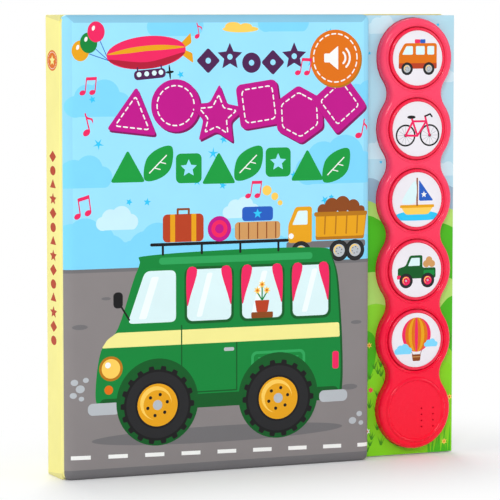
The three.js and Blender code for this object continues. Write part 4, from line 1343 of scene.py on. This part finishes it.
def lobes(inset, n=12):
    """Outline of the module: round lobes joined by necks."""
    turn = math.degrees(NECK_TURN)
    right = []
    for i, z in enumerate(LOBE_Z):
        last = i == LOBE_COUNT - 1
        right += arc(0, z, LOBE_RADIUS - inset, -turn if i else -90, 90 if last else turn, n)
        if not last:
            right += arc(NECK_REACH, z + LOBE_PITCH / 2, NECK_FILLET + inset, 180 + turn, 180 - turn, n)[1:-1]
    return moved(right + mirrored(right[::-1])[1:-1], MODULE_X, 0)


def lobe_depth(x, z):
    """Distance of a point inside the module's outline from that outline."""
    i = min(range(LOBE_COUNT), key=lambda k: abs(z - LOBE_Z[k]))
    dx, dz = abs(x - MODULE_X), z - LOBE_Z[i]
    other = i + (1 if dz > 0 else -1)
    if 0 <= other < LOBE_COUNT and math.atan2(abs(dz), max(dx, 1e-6)) > NECK_TURN:
        return math.hypot(dx - NECK_REACH, abs(dz) - LOBE_PITCH / 2) - NECK_FILLET
    return LOBE_RADIUS - math.hypot(dx, dz)


def add_strip():
    outline = dense(rounded(*STRIP_BOX, 0.4), 8.0)
    opening = [lobes(-0.4)]
    strip = Piece("strip_print")
    slab(strip, outline, STRIP_FRONT, STRIP_BACK, opening, strip_art(), "strip_sky", "page", 0.08)
    strip.finish("root", ["strip_card"], "strip_print")
    bed = Piece("bed_boards")
    front = STRIP_BACK + STRIP_GAP
    pitch = (BED_BACK - front) / BED_BOARDS
    for i in range(BED_BOARDS):
        y0 = front + pitch * i
        slab(bed, outline, y0, y0 + pitch - BOARD_GAP, opening, (), "page_core", "page_core", 0.22)
    bed.finish("root", ["module_bed"], "page_board")


# Sound module

def ring_round(i, r, n=96):
    """Circle about the centre of a lobe."""
    return ellipse(MODULE_X, LOBE_Z[i], r, n=n)


def bead_height(r, radius, half, height):
    away = (r - radius) / half
    return height * math.cos(math.pi / 2 * away) if abs(away) < 1 else 0.0


def housing_front(x, z):
    y = HOUSING_FRONT + HOUSING_ROUND * fall((HOUSING_ROUND - lobe_depth(x, z)) / HOUSING_ROUND)
    for i, centre in enumerate(LOBE_Z):
        r = math.hypot(x - MODULE_X, z - centre)
        y -= bead_height(r, *(WELL_BEAD if i else SPEAKER_BEAD))
        if i and r < WELL_RADIUS + 2:
            y += WELL_ROUND * fall((WELL_RADIUS + WELL_ROUND - r) / WELL_ROUND)
        elif not i and r < SPEAKER_BEAD[0] - SPEAKER_BEAD[1]:
            y += DISH_DEPTH * fall(1.2 * (1 - r / SPEAKER_BEAD[0]))
    return x, y, z


def grille_places():
    for row in range(HOLE_ROWS):
        for column in range(HOLE_COLUMNS):
            yield HOLES_X + HOLE_STEP_X * (column - 0.5), HOLES_Z + HOLE_STEP_Z * (row - 1.5)


def unrolled(radius, angle):
    """How far inside its start a round edge of that radius lies at that angle."""
    return radius * (1 - math.sin(math.radians(angle)))


def housing_rings():
    """Edges in the shell's front where its relief bends."""
    rings = [lobes(unrolled(HOUSING_ROUND, a)) for a in (0, 12, 25, 38, 51, 64, 77)]
    for i in range(1, LOBE_COUNT):
        rings += [ring_round(i, WELL_RADIUS + unrolled(WELL_ROUND, a)) for a in (0, 30, 60)]
        rings += [ring_round(i, WELL_BEAD[0] + WELL_BEAD[1] * k / 3) for k in range(-3, 4)]
    rings += [ring_round(0, SPEAKER_BEAD[0] + SPEAKER_BEAD[1] * k / 3) for k in range(-3, 4)]
    rings += [ring_round(0, r, 48) for r in (15, 12, 8, 4)]
    return rings + [ellipse(x, z, 0.75, n=16) for x, z in grille_places()]


def add_housing():
    holes = [ring_round(i, WELL_RADIUS) for i in range(1, LOBE_COUNT)]
    holes += [ellipse(x, z, HOLE_RADIUS, n=16) for x, z in grille_places()]
    flat = cut(lobes(0.0), holes, (), "housing", housing_rings())
    # Three digits, because the points of the cut are rounded a little
    inside = {key_of(p, 3): q for p, q in zip(lobes(0.0), lobes(HOUSING_WALL))}

    def wall(y):
        def at(x, z):
            a, b = inside.get(key_of((x, z), 3), (x, z))
            return a, y, b
        return at
    outer = [level(y) for y in (*HOUSING_ROWS, HOUSING_BACK)] + [wall(HOUSING_BACK), wall(HOUSING_INNER)]
    piece = Piece("housing_shell")
    sheet(piece, flat, housing_front, outer, [level(HOUSING_INNER)], back_ink="housing")
    for z in [LOBE_Z[i] + LOBE_PITCH / 2 for i in BOSS_NECKS]:
        for side in (-BOSS_OFFSET, BOSS_OFFSET):
            piece.lathe(tube(*BOSS_RADII, HOUSING_BACK), MODULE_X + side, z, "housing", 32)
    piece.lathe(tube(*SEAT_RADII, SEAT_BACK), MODULE_X, LOBE_Z[0], "housing", 72)
    piece.finish("root", ["module_housing"], "red_plastic", 32)


def tube(inner, outer, back):
    """Closed profile of a tube."""
    return closed([(inner, back), (inner, TUBE_FRONT), (outer, TUBE_FRONT), (outer, back)])


def bevel(r0, y0, r1, y1, n=5):
    """Points of a quarter round from (r0, y0) to (r1, y1), outwards and back."""
    return [(r0 + (r1 - r0) * s, y0 + (y1 - y0) * (1 - c)) for c, s in arc(0, 0, 1, 0, 90, n)]


def add_buttons():
    rim = [(0, 3.3), (14.55, 3.3), (14.66, 3.28), (14.72, 3.15), (14.74, 2.98), (14.8, 2.8), (14.92, 2.7),
           (15.05, 2.68)] + bevel(15.1, 2.7, 16.2, 3.9)
    skirt = [(16.2, 5.6), (17.4, 5.6), (17.5, 5.7), (17.5, 6.5), (17.4, 6.6), (16.2, 6.6), (16.2, 8.3)]
    under = [(14.6, 8.3), (14.6, 4.9), (2.5, 4.9), (2.5, 9.7), (2.3, 9.8), (0, 9.8)]
    for number in range(1, LOBE_COUNT):
        lobe = LOBE_COUNT - number
        centre = LOBE_Z[lobe]
        cap = Piece(f"cap_{number}")
        cap.lathe(rim + skirt + under, MODULE_X, centre, "cap", 112)
        cap.finish(f"button_{number}", [f"button_cap_{number}"], "red_plastic", 32)
        art = Art()
        art.place(Art(disc_art(number - 1)), MODULE_X, centre, DISC_SCALE)
        flat = cut(ring_round(lobe, DISC_RADIUS), (), art.shapes, "disc",
                   [ring_round(lobe, DISC_RADIUS - DISC_EDGE)])

        def front(x, z, centre=centre):
            r = math.hypot(x - MODULE_X, z - centre)
            return x, DISC_FRONT + DISC_DROP * fall((r - DISC_RADIUS + DISC_EDGE) / DISC_EDGE), z
        disc = Piece(f"picture_{number}")
        sheet(disc, flat, front, [level(DISC_BACK)], back_ink="disc")
        disc.finish(f"button_{number}", [f"picture_disc_{number}"], "white_plastic")


def door_box(half_x, half_z, r, z=BAY_Z):
    """Round-cornered outline about the battery door's middle line, mirrored."""
    return mirrored(rounded(BAY_X - half_x, z - half_z, BAY_X + half_x, z + half_z, r))


def screw_ring(r, n):
    return mirrored(ellipse(BAY_X, SCREW_Z, r, n=n))


def add_door():
    """Battery door in the back cover, with grip ribs."""
    piece = Piece("door")
    inner_edge = door_box(DOOR_HALF_X - DOOR_ROUND, DOOR_HALF_Z - DOOR_ROUND, 1.6)
    flat = cut(dense(door_box(DOOR_HALF_X, DOOR_HALF_Z, 2.0), 4.0), [screw_ring(SCREW_HOLE, 40)], (), "cap",
               [dense(inner_edge, 4.0), screw_ring(SCREW_HOLE + 0.4, 40)])

    def front(x, z):
        edge = min(DOOR_HALF_X - abs(x + BAY_X), DOOR_HALF_Z - abs(z - BAY_Z))
        return -x, DOOR_FACE - DOOR_ROUND * fall((DOOR_ROUND - edge) / DOOR_ROUND), z
    sheet(piece, flat, front, [level(DOOR_BACK, -1)], back_ink="cap")
    for centre in [RIB_LOW + RIB_PITCH * i for i in range(RIB_COUNT)]:
        outer = door_box(RIB_HALF_X, RIB_HALF_Z, 0.58, centre)
        inner = door_box(RIB_HALF_X - RIB_ROUND, RIB_HALF_Z - RIB_ROUND, 0.29, centre)
        flat = cut(dense(outer, 2.0), (), (), "cap", [dense(inner, 2.0)])

        def rib_front(x, z, centre=centre):
            past_x = abs(x + BAY_X) - RIB_HALF_X + RIB_ROUND
            past_z = abs(z - centre) - RIB_HALF_Z + RIB_ROUND
            return -x, RIB_TOP - RIB_DROP * max(past_x, past_z, 0.0) / RIB_ROUND, z
        sheet(piece, flat, rib_front, [level(RIB_BACK, -1)], back_ink="cap")
    piece.finish("root", ["battery_door"], "red_plastic", 30)


def add_screw():
    """The battery door's screw, with a crossed recess."""
    piece = Piece("door_screw")
    narrow, long = 0.3, 1.15
    arm = [(narrow, narrow), (narrow, long), (-narrow, long)]
    cross = []
    for _ in range(4):
        cross += arm
        arm = [(-b, a) for a, b in arm]
    flat = cut(screw_ring(SCREW_RADIUS, 48), [moved(cross, -BAY_X, SCREW_Z)], (), "steel",
               [screw_ring(r, 48) for r in (1.3, 1.6, 1.72)])

    def head(x, z):
        r = math.hypot(x + BAY_X, z - SCREW_Z)
        return -x, SCREW_FACE - SCREW_DROP * fall(2 * r / SCREW_RADIUS - 1), z
    sheet(piece, flat, head, [level(SCREW_BACK, -1)], back_ink="steel")
    # The recess floor is steel painted dark as shade.
    floor = cut(screw_ring(RECESS_RADIUS, 32), (), (), "steel_dark")
    sheet(piece, floor, level(RECESS_FLOOR, -1), [level(RECESS_BACK, -1)], back_ink="steel_dark")
    shank = [(0, 21.0), (0.3, 21.0), (0.9, 22.0), (0.9, 25.8), (0, 25.8)]
    piece.lathe(shank, BAY_X, SCREW_Z, "steel", 24)
    piece.finish("root", ["battery_door_screw"], "steel", 30)


# Materials of the CAD nodes that stay

def finish_nodes():
    board = fibre_material("greyboard", (0.56, 0.53, 0.49))
    black = plastic_material("black_plastic", (0.07, 0.07, 0.08), 0.45)
    steel = metal_material("node_steel", (0.76, 0.76, 0.78), 0.3)
    brass = metal_material("contact_brass", (0.80, 0.66, 0.36), 0.3)
    choices = (
        ("front_padding", fibre_material("foam", (0.93, 0.92, 0.86), 0.15, 900.0, 0.93)),
        ("front_board", board), ("spine_board", board), ("back_board", board),
        ("endpaper", fibre_material("paper", (0.93, 0.92, 0.88), 0.03, 700.0, 0.96)),
        ("module_base", ink("base")), ("circuit_board", circuit_material()), ("sound_chip", black),
        ("switch_body", black),
        ("switch_plunger", plastic_material("white_plastic", (0.88, 0.88, 0.86), 0.4)),
        ("speaker_basket", steel),
        ("speaker_cone", fibre_material("speaker_cone", (0.10, 0.10, 0.11), 0.05, 800.0, 0.8)),
        ("speaker_magnet", black), ("wire_red", plastic_material("wire_red", (0.75, 0.06, 0.07), 0.4)),
        ("wire_black", black), ("button_cell", metal_material("cell_steel", (0.82, 0.82, 0.83), 0.2)),
        ("contact", brass), ("battery_link", brass), ("screw", steel))
    for name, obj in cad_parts.items():
        found = [made for part, made in choices if part in name]
        obj.data.materials.clear()
        obj.data.materials.append(found[0] if found else board)


# Floor, light and camera

def add_floor():
    """White floor that keeps the book's shadow close by and glows evenly further away."""
    bpy.ops.mesh.primitive_plane_add(size=8, location=(0, 0, 0))
    floor = bpy.context.object
    floor.name = "floor"
    made, tree, shader = material("floor_white", 0.6)
    stops = [(0.3, (0.965, 0.965, 0.968)), (0.7, (0.98, 0.98, 0.98))]
    tree.links.new(ramp(tree, noise(tree, 3.0, 2.0), stops), shader.inputs["Base Color"])
    # Distance from the ground that the book covers with its cover open or shut
    last = node(tree, "TexCoord").outputs["Object"]
    for operation, values in (("ADD", (0.085, 0, 0)), ("ABSOLUTE", (0, 0, 0)),
                              ("SUBTRACT", (0.197, 0.014, 0)), ("MAXIMUM", (0, 0, 0))):
        last = node(tree, "VectorMath", [(0, last), (1, values)], operation=operation).outputs["Vector"]
    away = node(tree, "VectorMath", [(0, last)], operation="LENGTH").outputs["Value"]
    fade = node(tree, "MapRange", [("Value", away), ("From Min", -0.02), ("From Max", 0.14)],
                interpolation_type="SMOOTHSTEP").outputs["Result"]
    glow = node(tree, "Emission", [("Strength", 1.0)]).outputs["Emission"]
    join = node(tree, "MixShader", [("Fac", fade), (1, shader.outputs["BSDF"]), (2, glow)])
    tree.links.new(join.outputs["Shader"], tree.nodes["Material Output"].inputs["Surface"])
    floor.data.materials.append(made)


def add_world():
    """Soft light all round, in front of a plain white background."""
    world = bpy.context.scene.world or bpy.data.worlds.new("world")
    bpy.context.scene.world = world
    world.use_nodes = True
    tree = world.node_tree
    tree.nodes.clear()
    seen = node(tree, "LightPath").outputs["Is Camera Ray"]
    soft = node(tree, "Background", [("Color", (0.97, 0.985, 1.0, 1.0)), ("Strength", 0.56)])
    plain = node(tree, "Background", [("Color", (1.0, 1.0, 1.0, 1.0)), ("Strength", 1.0)])
    mix = node(tree, "MixShader", [("Fac", seen), (1, soft.outputs[0]), (2, plain.outputs[0])])
    node(tree, "OutputWorld", [("Surface", mix.outputs["Shader"])])


def add_lamps():
    for name, place, size, power in (
            ("key", (-0.75, -1.5, 1.15), 0.5, 11.0), ("side", (1.3, -1.0, 0.7), 0.7, 4.0),
            ("spine", (-1.5, -0.2, 0.6), 0.35, 5.2), ("rear", (0.2, 1.5, 1.1), 0.9, 10.0)):
        data = bpy.data.lights.new(name, "AREA")
        data.size = size
        data.energy = power
        lamp = bpy.data.objects.new(name, data)
        lamp.location = place
        aim = Vector((0, 0, 0.11)) - Vector(place)
        lamp.rotation_euler = aim.to_track_quat("-Z", "Y").to_euler()
        bpy.context.collection.objects.link(lamp)


def add_camera():
    data = bpy.data.cameras.new("camera")
    data.lens = 206.0
    data.sensor_width = 36.0
    data.clip_end = 20.0
    camera = bpy.data.objects.new("camera", data)
    camera.location = (-0.592, -1.36375, 0.240)
    camera.rotation_euler = (math.radians(90 - 4.9), 0, math.radians(-23.3))
    bpy.context.collection.objects.link(camera)
    bpy.context.scene.camera = camera


finish_nodes()
add_cover()
add_case()
add_hinge()
add_pages()
add_strip()
add_housing()
add_buttons()
add_door()
add_screw()
add_floor()
add_world()
add_lamps()
add_camera()
bpy.context.scene.view_settings.view_transform = "Standard"
